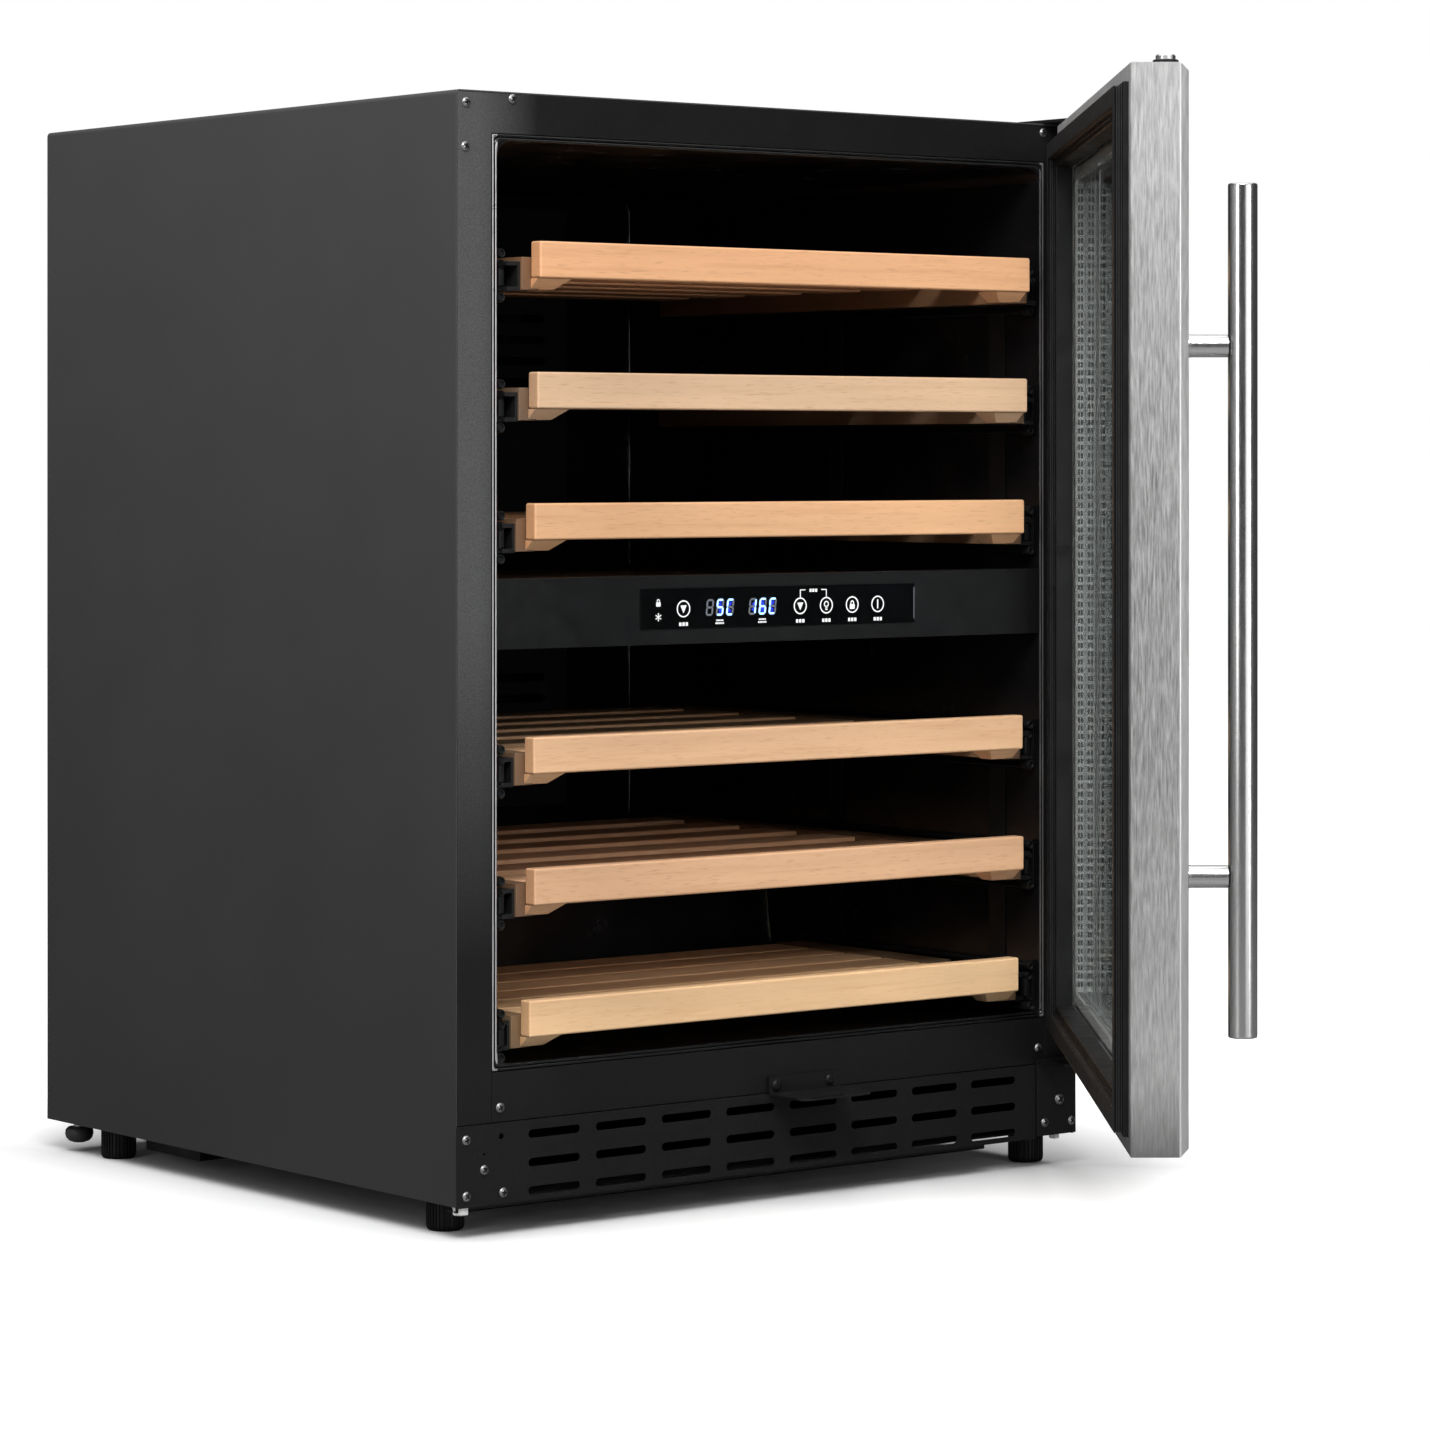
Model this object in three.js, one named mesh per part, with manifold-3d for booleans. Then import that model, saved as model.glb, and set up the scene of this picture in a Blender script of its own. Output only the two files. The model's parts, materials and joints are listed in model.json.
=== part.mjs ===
// Under-counter dual-zone wine cooler: steel cabinet, six sliding beech shelves,
// a triple-glazed steel door standing open, and the cooling parts behind and below.
// Millimetres. X runs left to right, Y front to back, Z up. Z = 0 is the floor.
// Inside this file Y = 0 is the cabinet's front plane; the exported group is moved
// back by FRONT_PLANE_Y, so that the origin lies under the middle of the object.
import * as THREE from "three";
import { mergeVertices } from "three/addons/utils/BufferGeometryUtils.js";
import Module from "manifold-3d";

const wasm = await Module();
wasm.setup();

// ---------- driving dimensions ----------
const WIDTH = 595;
const DEPTH = 572;
const HEIGHT = 820;
const PANEL_BOTTOM = 25;
const FRONT_PLANE_Y = -32;
const GAP = 0.3;
const SHEET = 1.2;

const STILE = 31;
const TOP_RAIL = 30;
const OPENING_BOTTOM = 118.8;
const LINER_STEP = 5;
const LINER_WALL = 2.2;
const LINER_BACK = 530;
const HUMP_FRONT = 330;
const HUMP_TOP = 214;
const HUMP_SLOPE = 17;

const GRILLE_TOP = 82.4;
const GRILLE_BOTTOM = 24.2;
const GRILLE_LIP_BOTTOM = 20.7;
const GRILLE_RIGHT = 256.1;
const SLOT_LENGTH = 46;
const SLOT_HEIGHT = 6;
const SLOT_PITCH = 60.5;
const SLOT_COLUMNS = 8;
const SLOT_ROWS = [31.2, 51.6, 72.1];

const FASCIA_BOTTOM = 420.5;
const FASCIA_TOP = 471;

// each shelf: underside of its front board, how far the board's face stands before
// the front plane (negative is forward), and the length of its side rails
const SHELVES = [
  { bottom: 686.9, front: -17.5, length: 462 },
  { bottom: 593.2, front: -14.5, length: 462 },
  { bottom: 498.9, front: -11, length: 462 },
  { bottom: 330.9, front: -9.5, length: 462 },
  { bottom: 236.7, front: -10.5, length: 462 },
  { bottom: 141.6, front: -4.5, length: 290 },
];
const BOARD = { halfLength: 236, height: 26.3, thickness: 12 };
const RAIL = { outer: 243.5, inner: 228, below: 8.5, above: 15, lipOut: 255, lip: 3 };
const SLAT = { width: 42, thickness: 9, drop: 1, count: 6 };
const SLIDE = { height: 35, below: 16, outerDepth: 10.5, innerBelow: 9.5, innerAbove: 11.7 };
const CARRIER_STRIPS = [40, 240];
const CARRIER_STRIP_WIDTH = 18;

const HINGE_X = 283.5;
const HINGE_Y = -34.6;
const DOOR_REST_DEG = 52.1;
const DOOR = { left: -581, right: 14, bottom: 98, top: 818, face: -14.4, back: 24.6 };
const DOOR_BEVEL = { across: 5, deep: 6 };
const DOOR_SKIN = 1.5;
const DOOR_FLANGE = 11.5;
const DOOR_WINDOW = 48;
const GLASS_INSET = 34.8;
const SPACER_WIDTH = 10;
const HANDLE = { radius: 9.8, bottom: 173, top: 740, inset: 30, standOff: 38.5 };
const POST = { radius: 7.5, heights: [280, 632] };
const PIN_RADIUS = 4;
const PIN_HOLE_RADIUS = 4.4;
const LOCK = { x: -260.5, z: 118, radius: 9, cam: 40 };

const FOOT = { radius: 14, height: 25 };
const FEET = [
  { name: "front_left_foot", x: -269, y: 54 },
  { name: "front_right_foot", x: 281, y: 38 },
  { name: "rear_left_foot", x: -274, y: 500 },
  { name: "rear_right_foot", x: 274, y: 500 },
];

// ---------- materials ----------
function material(color, roughness, metalness) {
  return new THREE.MeshStandardMaterial({ color, roughness, metalness });
}
const CASING = material(0x303032, 0.55, 0.2);
const BLACK_COAT = material(0x1c1c1d, 0.6, 0.3);
const LINER = material(0x0b0b0c, 0.25, 0);
const BLACK_PLASTIC = material(0x141415, 0.45, 0);
const GLOSS_BLACK = material(0x070708, 0.1, 0);
const FOAM = material(0xd8cfa8, 0.9, 0);
const STEEL = material(0xb9babb, 0.3, 1);
const ZINC = material(0x9a9c9e, 0.35, 1);
const ALUMINIUM = material(0xa9abac, 0.4, 1);
const RUBBER = material(0x121212, 0.85, 0);
const BEECH = material(0xd8a676, 0.55, 0);
const GLASS = new THREE.MeshStandardMaterial({
  color: 0xc8d2d0,
  roughness: 0.05,
  metalness: 0,
  transparent: true,
  opacity: 0.3,
});

// ---------- solids ----------
// A closed three.js geometry as a manifold solid. Its vertices are set on a grid of
// 1/512 mm, so that faces meant to lie in one plane do so exactly.
const GRID = 512;
function solid(geometry) {
  const bare = geometry.clone();
  bare.deleteAttribute("normal");
  bare.deleteAttribute("uv");
  const places = bare.attributes.position.array;
  for (let i = 0; i < places.length; i += 1) {
    places[i] = Math.round(places[i] * GRID) / GRID;
  }
  const merged = mergeVertices(bare, 1e-4);
  return new wasm.Manifold(
    new wasm.Mesh({
      numProp: 3,
      vertProperties: merged.attributes.position.array,
      triVerts: new Uint32Array(merged.index.array),
    }),
  );
}

function geometryOf(manifold) {
  const mesh = manifold.getMesh();
  const geometry = new THREE.BufferGeometry();
  const position = new THREE.BufferAttribute(new Float32Array(mesh.vertProperties), 3);
  geometry.setAttribute("position", position);
  geometry.setIndex(new THREE.BufferAttribute(new Uint32Array(mesh.triVerts), 1));
  return geometry;
}

function join(...solids) {
  return solids.reduce((sum, part) => sum.add(part));
}

function cut(body, ...tools) {
  return tools.reduce((left, tool) => left.subtract(tool), body);
}

function box(x, y, z) {
  const geometry = new THREE.BoxGeometry(x[1] - x[0], y[1] - y[0], z[1] - z[0]);
  geometry.translate((x[0] + x[1]) / 2, (y[0] + y[1]) / 2, (z[0] + z[1]) / 2);
  return solid(geometry);
}

function outline(points) {
  return new THREE.Shape(points.map(([a, b]) => new THREE.Vector2(a, b)));
}

function rectangle(left, right, bottom, top) {
  return [
    [left, bottom],
    [right, bottom],
    [right, top],
    [left, top],
  ];
}

// A slot or bar outline with round ends, centred on (a, b), long along the first axis.
function roundEnded(a, b, length, height, steps = 4) {
  const radius = height / 2;
  const reach = length / 2 - radius;
  const points = [];
  for (const side of [1, -1]) {
    for (let i = 0; i <= steps; i += 1) {
      const turn = -Math.PI / 2 + (Math.PI * i) / steps;
      const across = side * (reach + radius * Math.cos(turn));
      points.push([a + across, b + side * radius * Math.sin(turn)]);
    }
  }
  return points;
}

function extrude(shape, depth) {
  return new THREE.ExtrudeGeometry(shape, { depth, bevelEnabled: false });
}

// Outline in X and Y, from z[0] to z[1].
function alongZ(points, z) {
  const geometry = extrude(outline(points), z[1] - z[0]);
  geometry.translate(0, 0, z[0]);
  return solid(geometry);
}

// Outline in X and Z, from y[0] to y[1].
function alongY(points, y) {
  const geometry = extrude(outline(points), y[1] - y[0]);
  geometry.rotateX(Math.PI / 2);
  geometry.translate(0, y[1], 0);
  return solid(geometry);
}

// Outline in Y and Z, from x[0] to x[1].
function alongX(points, x) {
  const geometry = extrude(outline(points), x[1] - x[0]);
  const turn = new THREE.Matrix4().makeBasis(
    new THREE.Vector3(0, 1, 0),
    new THREE.Vector3(0, 0, 1),
    new THREE.Vector3(1, 0, 0),
  );
  geometry.applyMatrix4(turn);
  geometry.translate(x[0], 0, 0);
  return solid(geometry);
}

function rodZ(radius, x, y, z, sides = 20) {
  const geometry = new THREE.CylinderGeometry(radius, radius, z[1] - z[0], sides);
  geometry.rotateX(Math.PI / 2);
  geometry.translate(x, y, (z[0] + z[1]) / 2);
  return solid(geometry);
}

function rodY(radius, x, z, y, sides = 20) {
  const geometry = new THREE.CylinderGeometry(radius, radius, y[1] - y[0], sides);
  geometry.translate(x, (y[0] + y[1]) / 2, z);
  return solid(geometry);
}

// ---------- scene graph ----------
const group = new THREE.Group();
group.position.set(0, FRONT_PLANE_Y, 0);
const door = new THREE.Group();
door.position.set(HINGE_X, HINGE_Y, 0);
door.rotation.z = THREE.MathUtils.degToRad(DOOR_REST_DEG);
group.add(door);

function add(name, shape, finish, parent = group) {
  const mesh = new THREE.Mesh(geometryOf(shape), finish);
  mesh.name = name;
  parent.add(mesh);
}

// ---------- cabinet ----------
const HALF = WIDTH / 2;
const OPEN_X = HALF - STILE;
const OPEN_TOP = HEIGHT - TOP_RAIL;
const LINER_X = OPEN_X - LINER_STEP;
const LINER_FLOOR = OPENING_BOTTOM + LINER_STEP - LINER_WALL + GAP;
const LINER_CEILING = OPEN_TOP - LINER_STEP;
const IN_CASING = HALF - SHEET - GAP;

function makeCasing() {
  const outer = box([-HALF, HALF], [0, DEPTH], [PANEL_BOTTOM, HEIGHT]);
  const inside = HALF - SHEET;
  const hollow = box([-inside, inside], [-1, DEPTH + 1], [0, HEIGHT - SHEET]);
  add("outer_casing", cut(outer, hollow), CASING);
}

function makeFrontFrame() {
  const bottom = GRILLE_TOP + GAP;
  const top = HEIGHT - SHEET - GAP;
  const plate = box([-IN_CASING, IN_CASING], [0, 1.5], [bottom, top]);
  const lip = OPEN_X + SHEET;
  const fold = box([-lip, lip], [1, 12], [bottom, OPEN_TOP + SHEET]);
  const opening = box([-OPEN_X, OPEN_X], [-1, 13], [0, OPEN_TOP]);
  add("front_frame", cut(join(plate, fold), opening), BLACK_COAT);

  const reach = OPEN_X - GAP;
  const barTop = OPENING_BOTTOM - GAP;
  const bar = box([-reach, reach], [0, 1.5], [bottom, barTop]);
  const flange = box([-reach, reach], [0, 12], [barTop - SHEET, barTop]);
  add("lower_crossbar", join(bar, flange), BLACK_COAT);
}

// Liner: one moulded tub, open at the front, with a step in its floor at the back
// that leaves room for the compressor below.
function tubProfile(front, grow) {
  return [
    [front, LINER_FLOOR - grow],
    [HUMP_FRONT, LINER_FLOOR - grow],
    [HUMP_FRONT + HUMP_SLOPE, HUMP_TOP - grow],
    [LINER_BACK + grow, HUMP_TOP - grow],
    [LINER_BACK + grow, LINER_CEILING + grow],
    [front, LINER_CEILING + grow],
  ];
}

function makeLiner() {
  const front = 0.2;
  const wall = LINER_X + LINER_WALL;
  const tub = alongX(tubProfile(4, LINER_WALL), [-wall, wall]);
  const reach = OPEN_X - GAP;
  const lip = box([-reach, reach], [front, 4.5], [OPENING_BOTTOM + GAP, OPEN_TOP - GAP]);
  const hollow = alongX(tubProfile(-1, 0), [-LINER_X, LINER_X]);
  add("inner_liner", cut(join(tub, lip), hollow), LINER);
}

const FOAM_FLOOR = 100;
const BAY_TOP = 184;
function makeFoam() {
  const profile = [
    [13, FOAM_FLOOR],
    [HUMP_FRONT - 12, FOAM_FLOOR],
    [HUMP_FRONT + HUMP_SLOPE - 12, BAY_TOP],
    [DEPTH - 4.6, BAY_TOP],
    [DEPTH - 4.6, HEIGHT - SHEET - GAP],
    [13, HEIGHT - SHEET - GAP],
  ];
  const block = alongX(profile, [-IN_CASING, IN_CASING]);
  const wall = LINER_X + LINER_WALL + GAP;
  const hollow = alongX(tubProfile(0, LINER_WALL + GAP), [-wall, wall]);
  add("insulation_foam", cut(block, hollow), FOAM);
}

function makeBackAndBase() {
  const y = [DEPTH - 4.3, DEPTH - 4.3 + SHEET];
  const panel = box([-IN_CASING, IN_CASING], y, [190.5, HEIGHT - SHEET - GAP]);
  add("back_panel", panel, BLACK_COAT);

  const floor = box([-IN_CASING, IN_CASING], [16, DEPTH - 6], [26, 27.5]);
  const sides = [-1, 1].map((side) => {
    const x = [side * IN_CASING, side * (IN_CASING - SHEET)].sort((a, b) => a - b);
    return box(x, [16, DEPTH - 6], [26, 60]);
  });
  add("base_pan", join(floor, ...sides), BLACK_COAT);
}

// Rear cover of the machine bay: rows of air slots and the moulded cord inlet.
function makeRearCover() {
  const y = [DEPTH - 4.3, DEPTH - 4.3 + SHEET];
  const plate = box([-IN_CASING, IN_CASING], y, [27, 190]);
  const slots = [];
  for (let column = -3; column <= 3; column += 1) {
    for (const z of [72, 96, 120, 144, 168]) {
      slots.push(alongY(roundEnded(column * 72, z, 56, 9, 3), [y[0] - 1, y[1] + 1]));
    }
  }
  const gland = rodY(11, -245, 44, [y[0] - 3, DEPTH]);
  const bore = rodY(4.5, -245, 44, [y[0] - 4, DEPTH + 1], 12);
  add("rear_cover", cut(join(plate, gland), ...slots, bore), BLACK_COAT);
}

function makeKickGrille() {
  const y = [-1.5, -GAP];
  const plate = box([-HALF, GRILLE_RIGHT], y, [GRILLE_BOTTOM, GRILLE_TOP]);
  const across = [-HALF + 2, GRILLE_RIGHT - 50];
  const step = box(across, [-1.5, 3.7], [GRILLE_BOTTOM, GRILLE_BOTTOM + 0.7]);
  const lip = box(across, [2.5, 3.7], [GRILLE_LIP_BOTTOM, GRILLE_BOTTOM + 0.7]);
  const hem = box(across, [2.5, 14], [GRILLE_LIP_BOTTOM, GRILLE_LIP_BOTTOM + SHEET]);
  const slots = [];
  for (let column = 0; column < SLOT_COLUMNS; column += 1) {
    const x = (column - (SLOT_COLUMNS - 1) / 2) * SLOT_PITCH;
    for (const z of SLOT_ROWS) {
      slots.push(alongY(roundEnded(x, z, SLOT_LENGTH, SLOT_HEIGHT, 3), [-3, 2]));
    }
  }
  add("kick_grille", cut(join(plate, step, lip, hem), ...slots), BLACK_COAT);
}

// Catch for the door lock: a folded angle screwed to the crossbar, its tab slotted
// for the lock's cam.
function makeLockCatch() {
  const middle = 20.5;
  const half = 34;
  const flange = box([middle - half, middle + half], [-3.2, -1.8], [81, 95]);
  const tab = [
    [middle - half, -1.8],
    [middle - half, -38],
    [middle - half + 3, -43],
    [middle - half + 8, -45],
    [middle + half - 8, -45],
    [middle + half - 3, -43],
    [middle + half, -38],
    [middle + half, -1.8],
  ];
  const slot = box([middle - 22, middle + 9], [-42, -36], [80, 84]);
  add("lock_catch", cut(join(flange, alongZ(tab, [81, 82.4])), slot), BLACK_COAT);
}

// Each hinge bracket carries a fixed pin on the door's axis.
function makeHingeBrackets() {
  const left = 256.4;
  const right = HALF;
  const front = HINGE_Y - 13;
  const upright = box([left, right], [-2.8, -GAP], [26, 86]);
  const ledge = alongZ(
    [
      [left, -GAP],
      [left, front + 14],
      [left + 12, front],
      [right - 8, front],
      [right, front + 8],
      [right, -GAP],
    ],
    [83.5, 86],
  );
  const bush = rodZ(7, HINGE_X, HINGE_Y, [85, DOOR.bottom - 0.4]);
  const lowerPin = rodZ(PIN_RADIUS, HINGE_X, HINGE_Y, [85, DOOR.bottom + 8]);
  add("bottom_hinge_bracket", join(upright, ledge, bush, lowerPin), BLACK_COAT);

  const plateBottom = HEIGHT + GAP;
  const plate = alongZ(
    [
      [265, 30],
      [265, front + 14],
      [265 + 10, front],
      [right - 8, front],
      [right, front + 8],
      [right, 30],
    ],
    [plateBottom, plateBottom + 2.7],
  );
  const upperPin = rodZ(PIN_RADIUS, HINGE_X, HINGE_Y, [DOOR.top - 12, plateBottom + 1]);
  add("top_hinge_bracket", join(plate, upperPin), BLACK_COAT);
}

function makeFoot(name, x, y) {
  const radius = FOOT.radius;
  const profile = [
    [0, 0],
    [radius - 3.5, 0],
    [radius - 1.2, 1.5],
    [radius - 0.6, 4],
    [radius, 20],
    [radius, FOOT.height],
    [0, FOOT.height],
  ];
  const geometry = new THREE.LatheGeometry(
    profile.map(([r, z]) => new THREE.Vector2(r, z)),
    24,
  );
  geometry.rotateX(Math.PI / 2);
  geometry.translate(x, y, 0);
  add(name, solid(geometry), BLACK_PLASTIC);
}

function makeFeet() {
  for (const { name, x, y } of FEET) {
    makeFoot(name, x, y);
  }
}

// ---------- control strip between the zones ----------
const LENS = { left: -133, right: 132.2, bottom: 431.5, top: 461.7 };
function makeControls() {
  const reach = LINER_X - GAP;
  const divider = box([-reach, reach], [20, LINER_BACK - GAP], [425, 467]);
  add("zone_divider", divider, LINER);

  const shell = box([-reach, reach], [0, 19.5], [FASCIA_BOTTOM, FASCIA_TOP]);
  const hollow = box([-reach + 2, reach - 2], [2.2, 21], [FASCIA_BOTTOM + 2, FASCIA_TOP - 2]);
  const recess = box([LENS.left, LENS.right], [-1, 1.2], [LENS.bottom, LENS.top]);
  add("control_fascia", cut(shell, hollow, recess), BLACK_PLASTIC);

  const lens = box(
    [LENS.left + GAP, LENS.right - GAP],
    [-0.6, 0.9],
    [LENS.bottom + GAP, LENS.top - GAP],
  );
  add("control_lens", lens, GLOSS_BLACK);
}

// ---------- cooling ----------
// A bladed rotor turning about an axis parallel to Y.
function rotor(hubRadius, tipRadius, x, z, y, blades, pitchDeg) {
  const hub = rodY(hubRadius, x, z, y, 24);
  const depth = y[1] - y[0];
  const parts = [hub];
  for (let i = 0; i < blades; i += 1) {
    const length = tipRadius - hubRadius + 2;
    const blade = new THREE.BoxGeometry(length, 1.4, tipRadius * 0.55);
    blade.rotateX(THREE.MathUtils.degToRad(pitchDeg));
    blade.translate(hubRadius - 2 + length / 2, 0, 0);
    blade.rotateY((2 * Math.PI * i) / blades);
    blade.translate(x, y[0] + depth / 2, z);
    parts.push(solid(blade));
  }
  return join(...parts);
}

// Quarter-ring openings round a hub, in front of a rotor.
function ringSectors(x, z, inner, outer, y) {
  const gapAngle = 0.12;
  return [0, 1, 2, 3].map((quarter) => {
    const from = (quarter * Math.PI) / 2 + gapAngle;
    const to = ((quarter + 1) * Math.PI) / 2 - gapAngle;
    const steps = 6;
    const points = [];
    for (let i = 0; i <= steps; i += 1) {
      const turn = from + ((to - from) * i) / steps;
      points.push([x + outer * Math.cos(turn), z + outer * Math.sin(turn)]);
    }
    for (let i = steps; i >= 0; i -= 1) {
      const turn = from + ((to - from) * i) / steps;
      points.push([x + inner * Math.cos(turn), z + inner * Math.sin(turn)]);
    }
    return alongY(points, y);
  });
}

const FAN_COVERS = [
  { zone: "upper", bottom: 490, top: 770, centre: 640, radius: 44 },
  { zone: "lower", bottom: 262, top: 408, centre: 335, radius: 44 },
];
const FAN_COVER_HALF = 170;
const FAN_COVER_FRONT = 500;
function makeFanCover({ zone, bottom, top, centre, radius }) {
  const x = [-FAN_COVER_HALF, FAN_COVER_HALF];
  const back = LINER_BACK - GAP;
  const shell = box(x, [FAN_COVER_FRONT, back], [bottom, top]);
  const inside = [-FAN_COVER_HALF + 2, FAN_COVER_HALF - 2];
  const hollow = box(inside, [FAN_COVER_FRONT + 2, back + 1], [bottom + 2, top - 2]);
  const through = [FAN_COVER_FRONT - 1, FAN_COVER_FRONT + 3];
  const openings = ringSectors(0, centre, 13, radius, through);
  for (const side of [-1, 1]) {
    for (let row = -2; row <= 2; row += 1) {
      const slot = roundEnded(side * 110, centre + row * 18, 76, 7, 2);
      openings.push(alongY(slot, through));
    }
  }
  const motor = rodY(11, 0, centre, [FAN_COVER_FRONT + 1, FAN_COVER_FRONT + 7]);
  add(`${zone}_fan_cover`, join(cut(shell, hollow, ...openings), motor), BLACK_PLASTIC);
  const turning = [FAN_COVER_FRONT + 7.5, FAN_COVER_FRONT + 19.5];
  add(`${zone}_fan`, rotor(13, radius - 3, 0, centre, turning, 5, 28), BLACK_PLASTIC);
}

const CONDENSER = { x: [-285, -85], z: [38, 176], front: 385, back: 425, fanRadius: 60 };
function makeMachineBay() {
  const { x, z, front, back, fanRadius } = CONDENSER;
  const middleX = (x[0] + x[1]) / 2;
  const middleZ = (z[0] + z[1]) / 2;
  const block = box(x, [front, back], z);
  const grooves = [];
  for (let i = 0; i < 12; i += 1) {
    const start = x[0] + 12 + i * 15;
    grooves.push(box([start, start + 7], [front - 1, front + 18], [z[0] + 8, z[1] - 8]));
  }
  const shroud = box(x, [back, back + 26], z);
  const tunnel = rodY(fanRadius + 3, middleX, middleZ, [back - 10, back + 27], 32);
  const motor = rodY(16, middleX, middleZ, [back - 12, back + 3]);
  add("condenser", join(cut(join(block, shroud), tunnel, ...grooves), motor), ALUMINIUM);
  const turning = [back + 3.5, back + 22];
  add("condenser_fan", rotor(18, fanRadius, middleX, middleZ, turning, 5, 20), BLACK_PLASTIC);

  const profile = [
    [0, 34],
    [52, 36],
    [66, 50],
    [70, 70],
    [70, 140],
    [62, 162],
    [40, 174],
    [0, 177],
  ];
  const shell = new THREE.LatheGeometry(
    profile.map(([r, height]) => new THREE.Vector2(r, height)),
    28,
  );
  shell.rotateX(Math.PI / 2);
  shell.translate(150, 455, 0);
  const plate = box([70, 230], [380, 530], [28, 36]);
  const terminals = box([212, 232], [435, 475], [100, 135]);
  add("compressor", join(solid(shell), plate, terminals), BLACK_COAT);

  const tray = box([-270, -90], [385, 465], [10, 25.7]);
  const basin = box([-267, -93], [388, 462], [12, 27]);
  add("drain_tray", cut(tray, basin), BLACK_PLASTIC);
}

// ---------- shelves ----------
// Beech shelf: front board, two side rails with an outward lip, corner blocks
// and cross slats, glued and stapled into one rigid piece.
function makeDeck(number, { bottom, front, length }) {
  const rear = front + length;
  const railFront = front + BOARD.thickness;
  const edge = 3;
  const boardProfile = [
    [front + edge, bottom],
    [front + BOARD.thickness, bottom],
    [front + BOARD.thickness, bottom + BOARD.height],
    [front + edge, bottom + BOARD.height],
    [front + 0.9, bottom + BOARD.height - 0.9],
    [front, bottom + BOARD.height - edge],
    [front, bottom + edge],
    [front + 0.9, bottom + 0.9],
  ];
  const parts = [alongX(boardProfile, [-BOARD.halfLength, BOARD.halfLength])];
  for (const side of [-1, 1]) {
    const rail = [
      [side * RAIL.inner, bottom - RAIL.below],
      [side * RAIL.outer, bottom - RAIL.below],
      [side * RAIL.outer, bottom + RAIL.above - RAIL.lip],
      [side * RAIL.lipOut, bottom + RAIL.above - RAIL.lip],
      [side * RAIL.lipOut, bottom + RAIL.above],
      [side * RAIL.inner, bottom + RAIL.above],
    ];
    parts.push(alongY(rail, [railFront - 0.5, rear]));
    const block = [
      [side * (BOARD.halfLength - 0.5), bottom - RAIL.below + 0.5],
      [side * 220.5, bottom - RAIL.below + 0.5],
      [side * 204.5, bottom],
      [side * 204.5, bottom + 1],
      [side * (BOARD.halfLength - 0.5), bottom + 1],
    ];
    parts.push(alongY(block, [front + 2.5, railFront + 18]));
  }
  const pitch = (length - BOARD.thickness - 14 - SLAT.width) / (SLAT.count - 1);
  for (let i = 0; i < SLAT.count; i += 1) {
    const y = railFront + 12 + i * pitch;
    const top = bottom + RAIL.above - SLAT.drop;
    const z = [top - SLAT.thickness, top];
    parts.push(box([-RAIL.inner - 1, RAIL.inner + 1], [y, y + SLAT.width], z));
  }
  add(`shelf_${number}_deck`, join(...parts), BEECH);
}

// Moving member of a ball-bearing slide, screwed to the outside of the side rail.
function makeMovingSlide(number, sideName, side, { bottom, front, length }) {
  const inner = RAIL.outer + GAP;
  const outer = inner + 11;
  const low = bottom - SLIDE.innerBelow;
  const high = bottom + SLIDE.innerAbove;
  const profile = [
    [side * inner, low],
    [side * outer, low],
    [side * outer, low + 3],
    [side * (inner + 2), low + 3],
    [side * (inner + 2), high - 3],
    [side * outer, high - 3],
    [side * outer, high],
    [side * inner, high],
  ];
  const y = [front + BOARD.thickness + 2, front + length - 4];
  add(`shelf_${number}_${sideName}_slide`, alongY(profile, y), ZINC);
}

// Fixed slide channels of one zone's side, joined by two upright strips that are
// screwed to the liner's wall.
function makeCarrier(name, side, shelves) {
  const wall = LINER_X - GAP;
  const parts = [];
  let low = Infinity;
  let high = -Infinity;
  for (const { bottom, length } of shelves) {
    const base = bottom - SLIDE.below;
    const top = base + SLIDE.height;
    const profile = [
      [side * wall, base],
      [side * (wall - SLIDE.outerDepth), base],
      [side * (wall - SLIDE.outerDepth), base + SHEET],
      [side * (wall - SHEET), base + SHEET],
      [side * (wall - SHEET), top - SHEET],
      [side * (wall - SLIDE.outerDepth), top - SHEET],
      [side * (wall - SLIDE.outerDepth), top],
      [side * wall, top],
    ];
    parts.push(alongY(profile, [6, length + 6]));
    low = Math.min(low, base + 10);
    high = Math.max(high, top - 10);
  }
  for (const y of CARRIER_STRIPS) {
    const x = [side * wall, side * (wall - SHEET)].sort((a, b) => a - b);
    parts.push(box(x, [y, y + CARRIER_STRIP_WIDTH], [low, high]));
  }
  add(name, join(...parts), BLACK_COAT);
}

function makeShelves() {
  SHELVES.forEach((shelf, index) => {
    makeDeck(index + 1, shelf);
    makeMovingSlide(index + 1, "left", -1, shelf);
    makeMovingSlide(index + 1, "right", 1, shelf);
  });
  makeCarrier("upper_left_carrier", -1, SHELVES.slice(0, 3));
  makeCarrier("upper_right_carrier", 1, SHELVES.slice(0, 3));
  makeCarrier("lower_left_carrier", -1, SHELVES.slice(3));
  makeCarrier("lower_right_carrier", 1, SHELVES.slice(3));
}

// ---------- door, drawn closed round its hinge axis ----------
function ring(outerInset, innerInset, y) {
  const outer = doorBlock(outerInset, y);
  return cut(outer, doorBlock(innerInset, [y[0] - 1, y[1] + 1]));
}

function doorBlock(inset, y) {
  return box(
    [DOOR.left + inset, DOOR.right - inset],
    y,
    [DOOR.bottom + inset, DOOR.top - inset],
  );
}

// Outer block of the door with its front edges bevelled.
function bevelledBlock() {
  const { left, right, bottom, top, face, back } = DOOR;
  const { across, deep } = DOOR_BEVEL;
  const sideways = alongZ(
    [
      [left, back],
      [left, face + deep],
      [left + across, face],
      [right - across, face],
      [right, face + deep],
      [right, back],
    ],
    [bottom, top],
  );
  const upright = alongX(
    [
      [back, bottom],
      [back, top],
      [face + deep, top],
      [face, top - across],
      [face, bottom + across],
      [face + deep, bottom],
    ],
    [left, right],
  );
  return sideways.intersect(upright);
}

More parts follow.
